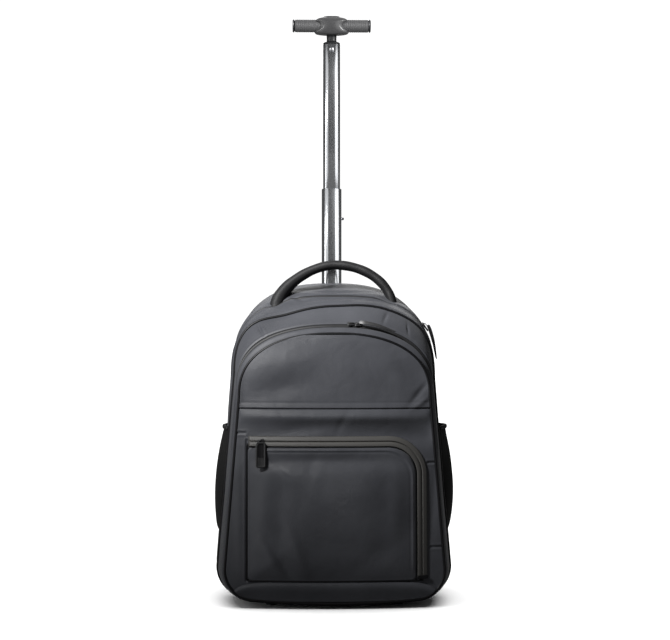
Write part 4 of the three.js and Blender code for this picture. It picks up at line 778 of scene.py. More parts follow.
# A near-black cord laid in the groove of the pocket's left seam and along its foot: painted shade that
# draws the seam as a dark line.
turn = np.linspace(0, np.pi / 2, 8)
seam_walk = np.concatenate([
    np.stack([np.full(60, POCKET_LEFT - 1.2), np.linspace(POCKET_TOP + 5, POCKET_FOOT + 4, 60)], -1),
    np.stack([POCKET_LEFT + 2.8 - 4 * np.cos(turn), POCKET_FOOT + 4 - 4 * np.sin(turn)], -1)[1:],
    np.stack([np.linspace(POCKET_LEFT + 4, POCKET_RIGHT + 10, 90), np.full(90, POCKET_FOOT)], -1),
])
seam_path = face(seam_walk[:, 0], seam_walk[:, 1], FACE_LIFT + 1.0, waves=0)
seam_shade_cord = surface(
    "bound_pocket_seam", carried(seam_path, oval(2.4, 2.4), (0, 1, 0)),
    round_columns=True, caps=True,
)
seam_shade_cord.parent = pocket
fit(seam_shade_cord, piping_finish)


# The pocket's zip: a warm grey tape over a hidden coil, turned down the right side and tacked at
# its end. Its two halves meet in a raised line with a groove at each side.
POCKET_ZIP_WIDTH = 14.5
POCKET_ZIP_PROFILE = [
    # across from the pocket outwards, and rise, in mm
    (-7.6, 0.4), (-7.2, 2.4), (-6.4, 2.9), (-1.9, 2.7), (-1.1, 2.3), (-0.6, 0.9), (-0.1, 0.8),
    (0.4, 2.0), (1.0, 2.7), (2.0, 3.0), (3.2, 2.6), (6.2, 3.1), (7.2, 2.6), (7.8, 0.2),
]
# Woven zip tape faced with a matt film: warmer than the twill, with fine ribs along its length.
pocket_zip_finish = new_finish("film_faced_zip_tape", "383735", 0.55, Specular_IOR_Level=0.4)
tree = pocket_zip_finish.node_tree
uv = add_node(tree, "UVMap", uv_map="weave")
ribs = add_node(
    tree, "TexWave", {"Vector": uv.outputs[0], "Scale": 350, "Distortion": 0.3, "Detail": 1},
    bands_direction="X",
)
fine = add_node(
    tree, "Bump", {"Height": ribs.outputs["Fac"], "Strength": 0.4, "Distance": 0.00012}
)
tree.links.new(fine.outputs[0], tree.nodes["Principled BSDF"].inputs["Normal"])

grow = 1.3 + POCKET_ZIP_WIDTH / 2
swing = np.linspace(0, np.pi / 2, 40)
corner_x, corner_z = POCKET_RIGHT - POCKET_SHOULDER, POCKET_TOP - POCKET_SHOULDER
reach = POCKET_SHOULDER + grow
climb = np.linspace(POCKET_FOOT + 4, corner_z, 90)[:-1]
back = np.linspace(corner_x, POCKET_LEFT + 1, 130)[1:]
path = np.concatenate([
    np.stack([0 * climb + corner_x + reach, climb], -1),
    np.stack([corner_x + reach * np.cos(swing), corner_z + reach * np.sin(swing)], -1),
    np.stack([back, 0 * back + corner_z + reach], -1),
])
along = np.gradient(path, axis=0)
along = along / np.linalg.norm(along, axis=-1, keepdims=True)
across, rise = np.array(POCKET_ZIP_PROFILE).T
x = path[:, :1] + across * along[:, 1:]
z = path[:, 1:] - across * along[:, :1]
ends = np.clip(np.minimum(np.arange(len(path)), np.arange(len(path))[::-1]) / 1.5, 0.1, 1)[:, None]
rise = rise + 1.4 - 0.28 * across
pocket_zip = surface("zip_of_pocket", face(x, z, FACE_LIFT + rise * ends, waves=0), inside=INSIDE)
thicken(pocket_zip, 0.6)
fit(pocket_zip, pocket_zip_finish, "front_pocket_zip")
TACK_WIDE = 17
tack_x = corner_x + reach + np.linspace(-TACK_WIDE / 2, TACK_WIDE / 2, 12)
tack = surface(
    "zip_end_tack",
    carried(
        face(tack_x, POCKET_FOOT + 5 + 0 * tack_x, 4.6, waves=0),
        oval(5, 2.2, power=4, count=20) * (1 + 0.06 * np.cos(np.arange(20))[:, None]), (0, 0, 1),
    ),
    round_columns=True, caps=True,
)
tack.parent = pocket_zip
fit(tack, piping_finish)


# The foot of the face: a rounded band of twill that wraps under, sewn along the pocket's foot, its
# seam dropping to the piping at both ends.
BAND_TOP = 41
across = np.linspace(-1, 1, 160)[None, :]
up = np.linspace(0, 1, 40)[:, None]
low = FRONT["foot"] * BAG_HEIGHT + 5.4 + FRONT["sag"] * BAG_HEIGHT * across**4
seam = BAND_TOP - 14 * np.abs(across) ** 7
z = low + (seam - low) * up
x = across * (front_half_width(z) - 5.2)
swell = 0.5 + 4.2 * np.sin(np.pi * up.clip(0.02, 0.98) ** 2.2) ** 0.7
foot_band = surface("foot_band_of_front", face(x, z, swell, waves=0), inside=INSIDE)
thicken(foot_band, CLOTH)
fit(foot_band, cloth_finish, "foot_band")


# The back of the bag: a flat panel of twill sewn to the gusset, on which the pads and the cover of
# the fixed tube are sewn.
BACK_FACE = BAG_DEPTH + 3.8
ring = np.linspace(0, 1, 241)[:-1]
rim = skin(ring, BAG_DEPTH, -PIPING + 0.8)
middle = np.array([0, 0, (BAG_HEIGHT + 82) / 2])
share = np.concatenate([[0.01, 0.5, 0.99], np.linspace(1, 0.01, 60)])[:, None]
inner = np.where(np.arange(len(share)) < 3, CLOTH, 0)[:, None]
x = share * rim[None, :, 0]
z = middle[2] + share * (rim[None, :, 2] - middle[2])
ripple = 0.4 * np.cos(x / 9) * np.cos(z / 31) * (1 - share**6) + 0.4
y = BACK_FACE - ORIGIN_DEPTH - np.where(inner > 0, 0.4, ripple) - inner
back_panel = surface(
    "back_panel", np.stack([x, y, z], -1), round_columns=True, caps=True, inside=INSIDE
)
fit(back_panel, cloth_finish, "back_wall")


# The back pads: foam under black spacer mesh, sewn across in two channels so that air can pass.
# Each is swelled as cloth, then pressed flat on the back panel.
PAD_THICK = 13
PAD_LOW, PAD_HIGH = 118, 440
PAD_INNER, PAD_OUTER = 28, BAG_WIDTH / 2 - 37
PAD_CHANNELS = (226, 332)
# Spacer mesh: small round holes in a soft knit. The real holes are 2 mm apart, drawn at 3 mm.
mesh_finish = new_finish("spacer_mesh", "161617", 0.85, Specular_IOR_Level=0.25, Sheen_Weight=0.2)
tree = mesh_finish.node_tree
place = add_node(tree, "TexCoord")
holes = add_node(
    tree, "TexVoronoi", {"Vector": place.outputs["Object"], "Scale": 330, "Randomness": 0.15}
)
ramp = add_node(tree, "ValToRGB", {"Fac": holes.outputs["Distance"]})
ramp.color_ramp.elements[0].position = 0.25
ramp.color_ramp.elements[0].color = linear("050505")
ramp.color_ramp.elements[1].position = 0.45
ramp.color_ramp.elements[1].color = linear("1d1d1f")
tree.links.new(ramp.outputs[0], tree.nodes["Principled BSDF"].inputs["Base Color"])
fine = add_node(
    tree, "Bump", {"Height": holes.outputs["Distance"], "Strength": 0.6, "Distance": 0.0006}
)
tree.links.new(fine.outputs[0], tree.nodes["Principled BSDF"].inputs["Normal"])


def plump(piece, cap, keep=None):
    """Remesh at 5 mm, blow up as cloth for 20 frames with no gravity, and keep each point within
    the cap of where it was."""
    bpy.context.view_layer.objects.active = piece
    remesh = piece.modifiers.new("remesh", "REMESH")
    remesh.mode = "VOXEL"
    remesh.voxel_size = 0.005
    bpy.ops.object.modifier_apply(modifier=remesh.name)
    mesh = piece.data
    start = np.zeros(3 * len(mesh.vertices))
    mesh.vertices.foreach_get("co", start)
    moved = start.copy()
    cloth = piece.modifiers.new("cloth", "CLOTH")
    cloth.settings.use_pressure = True
    cloth.settings.uniform_pressure_force = 4
    cloth.settings.effector_weights.gravity = 0
    for frame_number in range(1, 21):
        SCENE.frame_set(frame_number)
    shaped = piece.evaluated_get(bpy.context.evaluated_depsgraph_get()).to_mesh()
    shaped.vertices.foreach_get("co", moved)
    piece.modifiers.remove(cloth)
    SCENE.frame_set(1)
    way = (moved - start).reshape(-1, 3)
    far = np.linalg.norm(way, axis=-1, keepdims=True)
    points = start.reshape(-1, 3) + way * np.minimum(1, cap * MM / np.maximum(far, 1e-9))
    if keep is not None:
        points = keep(points / MM) * MM
    mesh.vertices.foreach_set("co", points.reshape(-1))
    mesh.shade_smooth()
    smooth = piece.modifiers.new("smooth", "SUBSURF")
    smooth.levels = smooth.render_levels = 1


def on_back(points):
    """Pad points pressed flat on the back panel and drawn in along the sewn channels."""
    base = BACK_FACE - ORIGIN_DEPTH + 0.3
    sewn = sum(bell(points[:, 2] - z, 4.5) for z in PAD_CHANNELS)
    rise = np.maximum(points[:, 1] - base, 0)
    points[:, 1] = base + rise * (1 - 0.62 * np.minimum(sewn, 1))
    return points


for side, hand in [(1, "right"), (-1, "left")]:
    inner, outer = PAD_INNER + 12, PAD_OUTER
    walk = []
    for x, z, radius, start in [
        (outer - 26, PAD_LOW + 26, 26, -0.5), (outer - 66, PAD_HIGH - 52, 52, 0),
        (inner, PAD_HIGH - 12, 12, 0.5), (inner, PAD_LOW + 12, 12, 1),
    ]:
        turn = np.pi * (start + np.linspace(0, 0.5, 12))
        walk.append(np.stack([x + radius * np.cos(turn), z + radius * np.sin(turn)], -1))
    walk = np.concatenate(walk)
    middle = np.array([(PAD_INNER + PAD_OUTER) / 2 - 6, (PAD_LOW + PAD_HIGH) / 2])
    share = np.array([0.02, 0.5, 0.98, 0.99, 0.95, 0.8, 0.5, 0.02])[:, None]
    rise = np.array([0, 0, 0, 4, 9, 11.5, 12, 12])[:, None]
    x = side * (middle[0] + share * (walk[None, :, 0] - middle[0]))
    z = middle[1] + share * (walk[None, :, 1] - middle[1])
    pad = surface(
        "back_pad_shape_" + hand,
        np.stack([x, BACK_FACE - ORIGIN_DEPTH + 0.3 + rise + 0 * x, z], -1),
        round_columns=True, caps=True,
    )
    plump(pad, 5, on_back)
    fit(pad, mesh_finish, "back_pad_" + hand)


# The cloth cover over the fixed tube: one strip of twill, arched over the tube and sewn flat to the
# back along both edges.
COVER_FOOT, COVER_TOP = 112, 434
angle = np.linspace(0, np.pi, 41)[None, :]
bend = lambda value: np.sign(value) * np.abs(value) ** 0.62
rows = np.linspace(COVER_FOOT, COVER_TOP, 120)[:, None]
half = 24.6 + 0.35 * np.sin(rows / 17)
x = half * bend(np.cos(angle))
y = 194.4 + 33.8 * bend(np.sin(angle)) + 0.25 * np.sin(rows / 11 + 2 * angle)
arch = np.stack([x, y - ORIGIN_DEPTH, rows + 0 * angle], -1)
flange = np.stack([0 * rows + 1, 0 * rows, 0 * rows], -1) * 9
cover_points = np.concatenate([arch[:, :1] + flange, arch, arch[:, -1:] - flange], axis=1)
tube_cover = surface("cover_of_fixed_tube", cover_points, inside=(0, 60, 270))
thicken(tube_cover, 1.4)
fit(tube_cover, cloth_finish, "tube_cover")


# The shoulder straps: foam in twill outside and mesh inside, bound along the edges, hanging in a
# loose bow from the top of the back to the ladder locks.
STRAP_PATH = np.array([
    # across, back, down, and width, as shares of the strap's spread, reach, drop and width
    (0, -0.36, -0.1, 0.9), (0.04, -0.2, -0.05, 1), (0.14, 0.5, 0.06, 1), (0.3, 0.92, 0.22, 1.05),
    (0.5, 1, 0.4, 1.05), (0.7, 0.9, 0.6, 1), (0.88, 0.66, 0.8, 0.85), (1, 0.46, 1, 0.55),
])
STRAP_SPREAD = (60, BAG_WIDTH / 2 - 91)
STRAP_DROP = (440, 190)
STRAP_REACH = 34
STRAP_WIDE, STRAP_THICK = 58, 10
PAD_FACE = BACK_FACE + PAD_THICK - ORIGIN_DEPTH


def flowing(rows, count):
    """A curve through rows of numbers: between two rows, the cubic whose slopes are half the way
    from the row before to the row after."""
    held = np.concatenate([2 * rows[:1] - rows[1:2], rows, 2 * rows[-1:] - rows[-2:-1]])
    at = np.linspace(0, len(rows) - 1, count)
    k = np.minimum(at.astype(int), len(rows) - 2)
    t = (at - k)[:, None]
    a, b, c, d = (held[k + n] for n in range(4))
    return b + 0.5 * t * (c - a + t * (2 * a - 5 * b + 4 * c - d + t * (3 * (b - c) + d - a)))


for side, hand in [(1, "right"), (-1, "left")]:
    share = flowing(STRAP_PATH, 90)
    path = np.stack([
        side * (STRAP_SPREAD[0] + (STRAP_SPREAD[1] - STRAP_SPREAD[0]) * share[:, 0]),
        PAD_FACE + STRAP_THICK / 2 + STRAP_REACH * share[:, 1],
        STRAP_DROP[0] + (STRAP_DROP[1] - STRAP_DROP[0]) * share[:, 2],
    ], -1)
    flat = oval(1, 1, power=3.4, count=44)
    edge = 1 - 0.3 * bell(np.abs(flat[:, :1]) - 0.43, 0.03)
    profile = np.concatenate([flat[:, :1], flat[:, 1:] * edge], -1)
    size = np.stack([STRAP_WIDE * share[:, 3], 0 * share[:, 3] + STRAP_THICK], -1)
    points = carried(path, profile[None] * size[:, None, :], (1, 0, 0))
    strap = surface("padded_strap_" + hand, points, round_columns=True, caps=True)
    fit(strap, cloth_finish, "shoulder_strap_" + hand)


# The webbing that runs from each ladder lock to the foot of the back: flat woven nylon, 25 mm wide.
# It hangs clear below the lock and lies on the back where it is sewn in.
WEBBING_PATH = np.array([
    # across and back in mm, with the height
    (92, PAD_FACE + 19.6, 162), (93, PAD_FACE + 19, 156), (103, PAD_FACE + 14, 144),
    (116, PAD_FACE + 6, 130), (126, PAD_FACE - 6, 117), (128, PAD_FACE - 10.6, 108),
    (128, PAD_FACE - 11.4, 100),
])
# Woven nylon webbing: thick ribs across its length, with a slight shine.
webbing_finish = new_finish("woven_nylon_webbing", "121213", 0.6, Specular_IOR_Level=0.25)
tree = webbing_finish.node_tree
uv = add_node(tree, "UVMap", uv_map="weave")
ribs = add_node(
    tree, "TexWave", {"Vector": uv.outputs[0], "Scale": 196, "Distortion": 0.5, "Detail": 1},
    bands_direction="Y",
)
place = add_node(tree, "TexCoord")
lumps = add_node(tree, "TexNoise", {"Vector": place.outputs["Object"], "Scale": 130, "Detail": 2})
broad = add_node(
    tree, "Bump", {"Height": lumps.outputs["Fac"], "Strength": 0.4, "Distance": 0.0012}
)
fine = add_node(
    tree, "Bump",
    {"Height": ribs.outputs["Fac"], "Strength": 0.7, "Distance": 0.0003,
     "Normal": broad.outputs[0]},
)
tree.links.new(fine.outputs[0], tree.nodes["Principled BSDF"].inputs["Normal"])
for side, hand in [(1, "right"), (-1, "left")]:
    path = flowing(WEBBING_PATH * np.array([side, 1, 1]), 60)
    points = carried(path, oval(25, 2, power=6, count=28), (1, 0, 0))
    webbing = surface("webbing_" + hand, points, round_columns=True, caps=True)
    fit(webbing, webbing_finish, "strap_webbing_" + hand)


# The carry handle: foam rolled in black webbing and sewn along its underside, its feet flattened
# where they go into the seam behind the main zip.
HANDLE_SPAN = 198
HANDLE_RISE = 77
HANDLE_THICK = 15
HANDLE_WIDE = 30
HANDLE_DEPTH = 0.684 * BAG_DEPTH
HANDLE_OFFSET = 3
share = np.linspace(0, 1, 120)
angle = np.pi * (1.09 - 1.18 * share)
path = np.stack([
    HANDLE_OFFSET + (HANDLE_SPAN - HANDLE_THICK) / 2 * np.cos(angle),
    0 * angle + HANDLE_DEPTH - ORIGIN_DEPTH,
    0.915 * BAG_HEIGHT + (HANDLE_RISE - HANDLE_THICK / 2) * np.sin(angle),
], -1)
lean = np.clip(-np.cos(angle), 0, 1) ** 1.5 * np.clip(np.sin(angle), 0, 1)
path[:, 2] -= 13 * lean
flare = np.clip(-np.cos(angle), 0, 1) ** 3
flat = oval(1, 1, power=2.5, count=36)
groove = 1 - 0.1 * bell(flat[:, 1:] - 0.5, 0.05) * bell(flat[:, :1], 0.12)
size = np.stack([HANDLE_WIDE * (1 + 0.4 * flare), HANDLE_THICK * (1 + 0.6 * flare)], -1)
path[:, 1] -= 6 * flare**2
size = size * (1 - 0.02 * np.cos(share * 63))[:, None]
points = carried(path, (flat * groove)[None] * size[:, None, :], (0, 1, 0))
handle = surface("rolled_carry_handle", points, round_columns=True, caps=True)
fit(handle, webbing_finish, "carry_handle")


# The side pockets: black net gathered into an elastic hem along the mouth, sewn into the gusset at
# the foot and both sides. The right one bulges more.
SIDE_FOOT, SIDE_TOP = 108, 262
SIDE_FRONT, SIDE_BACK = 0.358 * BAG_DEPTH, 0.842 * BAG_DEPTH
HEM = 4
# Polyester net: an open knit of small diamonds, near black, with only its threads catching light.
net_finish = new_finish("polyester_net", "0b0b0b", 0.8, Specular_IOR_Level=0.2)
tree = net_finish.node_tree
uv = add_node(tree, "UVMap", uv_map="weave")
turned = add_node(tree, "Mapping", {"Vector": uv.outputs[0], "Rotation": (0, 0, math.radians(45))})
diamonds = add_node(
    tree, "TexVoronoi", {"Vector": turned.outputs[0], "Scale": 480, "Randomness": 0.0},
    voronoi_dimensions="2D",
)
ramp = add_node(tree, "ValToRGB", {"Fac": diamonds.outputs["Distance"]})
ramp.color_ramp.elements[0].position = 0.3
ramp.color_ramp.elements[0].color = linear("040404")
ramp.color_ramp.elements[1].position = 0.5
ramp.color_ramp.elements[1].color = linear("0e0e0e")
tree.links.new(ramp.outputs[0], tree.nodes["Principled BSDF"].inputs["Base Color"])
fine = add_node(
    tree, "Bump", {"Height": diamonds.outputs["Distance"], "Strength": 0.5, "Distance": 0.0004}
)
tree.links.new(fine.outputs[0], tree.nodes["Principled BSDF"].inputs["Normal"])


def side_point(side, bulge, mouth_out, up, back, lift):
    """A point of a side pocket: on the skin at its height and depth, out by a bulge that falls to
    the mouth's and to nothing at the sewn edges."""
    depth = SIDE_FRONT + (SIDE_BACK - SIDE_FRONT) * back
    height = SIDE_FOOT + (SIDE_TOP - SIDE_FOOT) * up
    turn = np.linspace(0, 0.5, 300)
    around = np.empty(np.broadcast(up, back).shape)
    for k, at in enumerate(np.broadcast_to(depth, around.shape)[0]):
        _, z, _ = outline(turn, np.full(300, at / BAG_DEPTH))
        around[:, k] = np.interp(np.broadcast_to(height, around.shape)[:, k], z, turn)
    mouth = 1 + (mouth_out / bulge - 1) * np.clip((up - 0.5) / 0.5, 0, 1) ** 2
    rise = np.where(up < 0.5, np.sin(np.pi * np.clip(up, 0, 1)).clip(0) ** 0.7, 1)
    across = np.sin(np.pi * back.clip(0, 1)).clip(0) ** 0.7
    gathers = 0.7 * np.sin(back * 44) * np.clip((up - 0.6) / 0.4, 0, 1) * across
    out = bulge * mouth * rise * across + gathers + lift
    return skin(around if side > 0 else 1 - around, np.broadcast_to(depth, around.shape), out)


for side, hand, bulge, mouth_out in [(1, "right", 13, 8), (-1, "left", 9, 2.5)]:
    up = np.linspace(0, 1, 60)[:, None]
    back = np.linspace(0, 1, 64)[None, :]
    net = surface(
        "net_pocket_" + hand, side_point(side, bulge, mouth_out, up, back, CLOTH), inside=INSIDE
    )
    thicken(net, 1)
    fit(net, net_finish, "side_pocket_" + hand)
    walk = np.linspace(0.01, 0.99, 120)[None, :]
    path = side_point(side, bulge, mouth_out, np.ones((1, 1)), walk, 2.4)[0]
    path = path + np.array([0, 0, HEM / 2])
    ribs = (1 + 0.08 * np.cos(np.arange(120) * 1.9))[:, None, None]
    hem = surface(
        "elastic_hem_" + hand,
        carried(path, oval(HEM + 2, HEM, power=3)[None] * ribs, (0, 0, 1)),
        round_columns=True, caps=True,
    )
    fit(hem, webbing_finish, "side_pocket_hem_" + hand)


# The telescopic pole: drawn tubes of polished aluminium, ovals with straight flanks. The upper one
# slides in the lower one, and both in a fixed tube down the back of the bag.
POLE_Y = BAG_DEPTH + 21.5 - ORIGIN_DEPTH
TUBE_WALL = 1.9
TUBES = [
    # name, width and depth, foot and top, body
    ("lower", 32.2, 22.7, 344, 644, "lower_pole"),
    ("upper", 27.8, 18.3, 584, 879, "upper_pole"),
]
# Polished, clear anodised aluminium: near a mirror, with faint draw lines along the tube.
tube_finish = new_finish("polished_aluminium", "c3c5c8", 0.16, Metallic=1.0)
tree = tube_finish.node_tree
place = add_node(tree, "TexCoord")
stretched = add_node(
    tree, "Mapping", {"Vector": place.outputs["Object"], "Scale": (900, 900, 6)}
)
lines = add_node(tree, "TexNoise", {"Vector": stretched.outputs[0], "Scale": 1, "Detail": 2})
rough = add_node(
    tree, "MapRange", {"Value": lines.outputs["Fac"], "To Min": 0.12, "To Max": 0.24}
)
tree.links.new(rough.outputs[0], tree.nodes["Principled BSDF"].inputs["Roughness"])


def straight_oval(wide, deep, count=64):
    """Points round a stadium about the pole's axis: a half circle at each end of two flats."""
    turn = np.linspace(-np.pi / 2, np.pi / 2, count // 2)
    x = (wide - deep) / 2 + deep / 2 * np.cos(turn)
    y = deep / 2 * np.sin(turn)
    return np.concatenate([np.stack([x, POLE_Y + y], -1), np.stack([-x, POLE_Y - y], -1)])


def stacked(rings):
    """Outlines at heights, as rows of points."""
    return np.stack([
        np.concatenate([ring, np.full((len(ring), 1), float(z))], -1) for ring, z in rings
    ])


tubes = []
for name, wide, deep, foot, top, body in TUBES:
    rings = [
        (straight_oval(wide - 2 * inset, deep - 2 * inset), z)
        for inset, z in [
            (0.5, foot), (0, foot + 0.6), (0, (foot + top) / 2), (0, top - 0.6), (0.5, top),
            (TUBE_WALL - 0.4, top), (TUBE_WALL, top - 0.6), (TUBE_WALL, foot + 0.6),
            (TUBE_WALL - 0.4, foot),
        ]
    ]
    tube = surface(name + "_pole_tube", stacked(rings), round_rows=True, round_columns=True)
    tube.data.materials.append(tube_finish)
    creases = tube.modifiers.new("creases", "EDGE_SPLIT")
    creases.split_angle = math.radians(40)
    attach(tube, body)
    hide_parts(name + "_tube")
    tubes.append(tube)


# The rivet in front of the upper tube, which holds the grip's plug, and the steel nub through the
# lower tube's flank, which catches the fixed tube.
RIVET_HEIGHT = 870
NUB_HEIGHT = 595.5


def turned(name, profile, at, axis, count=48, caps=True):
    """A profile of radius and distance turned about a line along an axis, 0 for x, 1 for y, 2 for z."""
    angle = np.linspace(0, 2 * np.pi, count + 1)[:-1]
    radius, along = np.array(profile, float).T[:, :, None]
    ring = [radius * np.cos(angle), radius * np.sin(angle)]
    ring.insert(axis, along + 0 * angle)
    points = np.stack(ring, -1) + np.array(at, float)
    return surface(name, points, round_columns=True, caps=caps)


# Plated steel: bright and smooth, with a soft spread from the plating.
steel_finish = new_finish("zinc_plated_steel", "b4b5b8", 0.24, Metallic=1.0)
tree = steel_finish.node_tree
place = add_node(tree, "TexCoord")
specks = add_node(tree, "TexNoise", {"Vector": place.outputs["Object"], "Scale": 700})
rough = add_node(
    tree, "MapRange", {"Value": specks.outputs["Fac"], "To Min": 0.18, "To Max": 0.32}
)
tree.links.new(rough.outputs[0], tree.nodes["Principled BSDF"].inputs["Roughness"])
rivet = turned(
    "rivet_head",
    [(3.8, 0), (3.8, -0.4), (3.5, -0.9), (2.9, -1.3), (1.9, -1.6), (0.9, -1.75), (0.1, -1.8)],
    (0, POLE_Y - 9.45, RIVET_HEIGHT), 1,
)
nub = turned(
    "nub_pin", [(2.3, 15.9), (2.3, 18.6), (2.1, 19.4), (1.6, 19.9), (0.9, 20.1), (0.1, 20.15)],
    (0, POLE_Y, NUB_HEIGHT), 0,
)
for piece, body, node in [(rivet, "upper_pole", "grip_rivet"), (nub, "lower_pole", "pole_nub")]:
    fit(piece, steel_finish, node, body)


# The T-shaped grip: a moulded hub on a short neck, with a release button in its crown and a bar at
# each side. The bars are softer, finely ringed, and end in hard dark caps.
HUB_FOOT, HUB_TOP = 894, 922
HUB_WIDE, HUB_DEEP = 55, 30
GRIP_HEIGHT = 909
GRIP_RADIUS = 10.6
GRIP_END = 63.5
CAP_LENGTH = 3
# Hard grey ABS with a satin skin, fresh from a fine-sparked mould.
hub_finish = new_finish("satin_abs", "474748", 0.26, Specular_IOR_Level=0.5)
# Soft rubbery sleeve: duller, with the rings standing in its surface.
bar_finish = new_finish("soft_touch_sleeve", "565657", 0.45, Specular_IOR_Level=0.45)
# Black moulded polypropylene, for the button, caps, base, wheels' rims and feet.
moulded_finish = new_finish("moulded_polypropylene", "17181a", 0.42, Specular_IOR_Level=0.45)
for finish, grain, deep in [
    (hub_finish, 900, 0.00002), (bar_finish, 1300, 0.00005), (moulded_finish, 1100, 0.00004),
]:
    tree = finish.node_tree
    place = add_node(tree, "TexCoord")
    specks = add_node(
        tree, "TexNoise", {"Vector": place.outputs["Object"], "Scale": grain, "Detail": 2}
    )
    fine = add_node(
        tree, "Bump", {"Height": specks.outputs["Fac"], "Strength": 0.3, "Distance": deep}
    )
    tree.links.new(fine.outputs[0], tree.nodes["Principled BSDF"].inputs["Normal"])


def squared(wide, deep, power, count=72):
    """Points round the pole's axis on a squarish ellipse."""
    return oval(wide, deep, power, count) + np.array([0, POLE_Y])


HUB_ROWS = [
    # height, width and depth as shares, and squareness
    (0, 0.42, 0.5, 2.6), (0.02, 0.66, 0.6, 2.8), (0.06, 0.9, 0.7, 3), (0.14, 1, 0.8, 3),
    (0.24, 0.97, 0.88, 2.8), (0.38, 0.84, 0.96, 2.6), (0.55, 0.78, 1, 2.6),
    (0.7, 0.88, 0.99, 2.8), (0.8, 1, 0.95, 3), (0.88, 0.93, 0.86, 3.2), (0.96, 0.8, 0.72, 3.2),
    (1, 0.66, 0.6, 3.2),
]
rows = flowing(np.array(HUB_ROWS), 64)
rings = [
    (squared(HUB_WIDE * wide, HUB_DEEP * deep, power), HUB_FOOT + (HUB_TOP - HUB_FOOT) * up)
    for up, wide, deep, power in rows
]
hub = surface("grip_hub_shell", stacked(rings), round_columns=True, caps=True)
fit(hub, hub_finish, "grip_hub", "upper_pole")

button = surface(
    "domed_release_button",
    stacked([
        (squared(27 * share, 13 * share, 4), z)
        for share, z in [
            (1, HUB_TOP - 5), (1, HUB_TOP + 0.6), (0.98, HUB_TOP + 1.4), (0.9, HUB_TOP + 2.2),
            (0.7, HUB_TOP + 2.8), (0.4, HUB_TOP + 3), (0.05, HUB_TOP + 3),
        ]
    ]),
    round_columns=True, caps=True,
)
fit(button, moulded_finish, "release_button", "button")

bars = []
for side, hand in [(1, "right"), (-1, "left")]:
    along = np.linspace(HUB_WIDE / 2 - 10, GRIP_END - CAP_LENGTH, 220)
    rings = 0.32 * np.maximum(np.cos(2 * np.pi * along / 3.1), -0.2)
    ends = 1.6 * bell(along - along[-1], 1.2) + 1.2 * bell(along - along[0], 1.4)
    bar = turned(
        "grip_bar_" + hand,
        np.stack([GRIP_RADIUS - 0.5 + rings - ends, side * along], -1),
        (0, POLE_Y, GRIP_HEIGHT), 0,
    )
    fit(bar, bar_finish, "grip_" + hand, "upper_pole")
    cap = turned(
        "grip_end_cap_" + hand,
        [
            (radius, side * (GRIP_END - CAP_LENGTH + at))
            for radius, at in [
                (9.4, 0), (10.2, 0.2), (10.5, 0.8), (10.4, 1.8), (9.8, 2.6), (8.6, 3), (4, 3.1),
                (0.2, 3.1),
            ]
        ],
        (0, POLE_Y, GRIP_HEIGHT), 0,
    )
    fit(cap, moulded_finish, "grip_cap_" + hand, "upper_pole")
    bars.append(bar)


# The neck: a flange over the tube's end with bevelled shoulders and a slim oval stem. Below the
# flange its plug fills the end of the tube, where the rivet holds it.
NECK_ROWS = [
    # height, width and depth in mm
    (849, 23.4, 13.9), (879.3, 23.4, 13.9), (879.35, 26.6, 17.2), (879.8, 27.6, 18.1),
    (881, 27.2, 17.8), (882.6, 22, 14.5), (883.2, 17, 13.2), (884, 16, 12.9), (888, 15.8, 12.8),
    (893.6, 16.4, 13),
]
neck = surface(
    "grip_neck_stem",
    stacked([(straight_oval(wide, deep), z) for z, wide, deep in NECK_ROWS]),
    round_columns=True, caps=True,
)
fit(neck, moulded_finish, "grip_neck", "upper_pole")


# The pole and its grip have four softboxes of their own, two broad ones and two small ones. The
# key is kept off them and off the paper.
shining = [*tubes, rivet, hub, neck, *bars]
for name in ("pole_left", "pole_right", "grip_left", "grip_right"):
    choose(boxes[name], "INCLUDE", shining)
choose(key, "EXCLUDE", [studio_floor, *shining])


# The moulded base with its pole socket, the fixed tube and its collar, the feet, the panel between
# the compartments and the ladder locks keep their frame solids, with edges rounded as a mould does.
ROUNDED = {
    # node: finish and the radius of its edges in mm
    "base_housing": (moulded_finish, 1.6), "pole_socket": (moulded_finish, 1.2),
    "tube_collar": (moulded_finish, 0.6), "outer_tube": (tube_finish, 0.2),
    "ladder_lock_right": (moulded_finish, 0.8), "ladder_lock_left": (moulded_finish, 0.8),
    "front_foot_right": (moulded_finish, 0.8), "front_foot_left": (moulded_finish, 0.8),
    "divider_panel": (cloth_finish, 0.2), "axle_right": (steel_finish, 0.3),
    "axle_left": (steel_finish, 0.3),
}
for name, (finish, radius) in ROUNDED.items():
    part = bpy.data.objects[name]
    weld = part.modifiers.new("weld", "WELD")
    weld.merge_threshold = 0.00001
    bevel = part.modifiers.new("rounded_edges", "BEVEL")
    bevel.width = radius * MM
    bevel.segments = 2
    bevel.angle_limit = math.radians(40)
    bevel.harden_normals = False
    part.data.materials.clear()
    part.data.materials.append(finish)


# The wheels: a rubber tyre with a shallow tread on a moulded rim with a deep dish, turning on a
# fixed steel axle.
WHEEL_RADIUS = 34
WHEEL_WIDTH = 24
WHEEL_MIDDLE = BAG_WIDTH / 2 - 42
AXLE_Y = BAG_DEPTH + 8 - ORIGIN_DEPTH
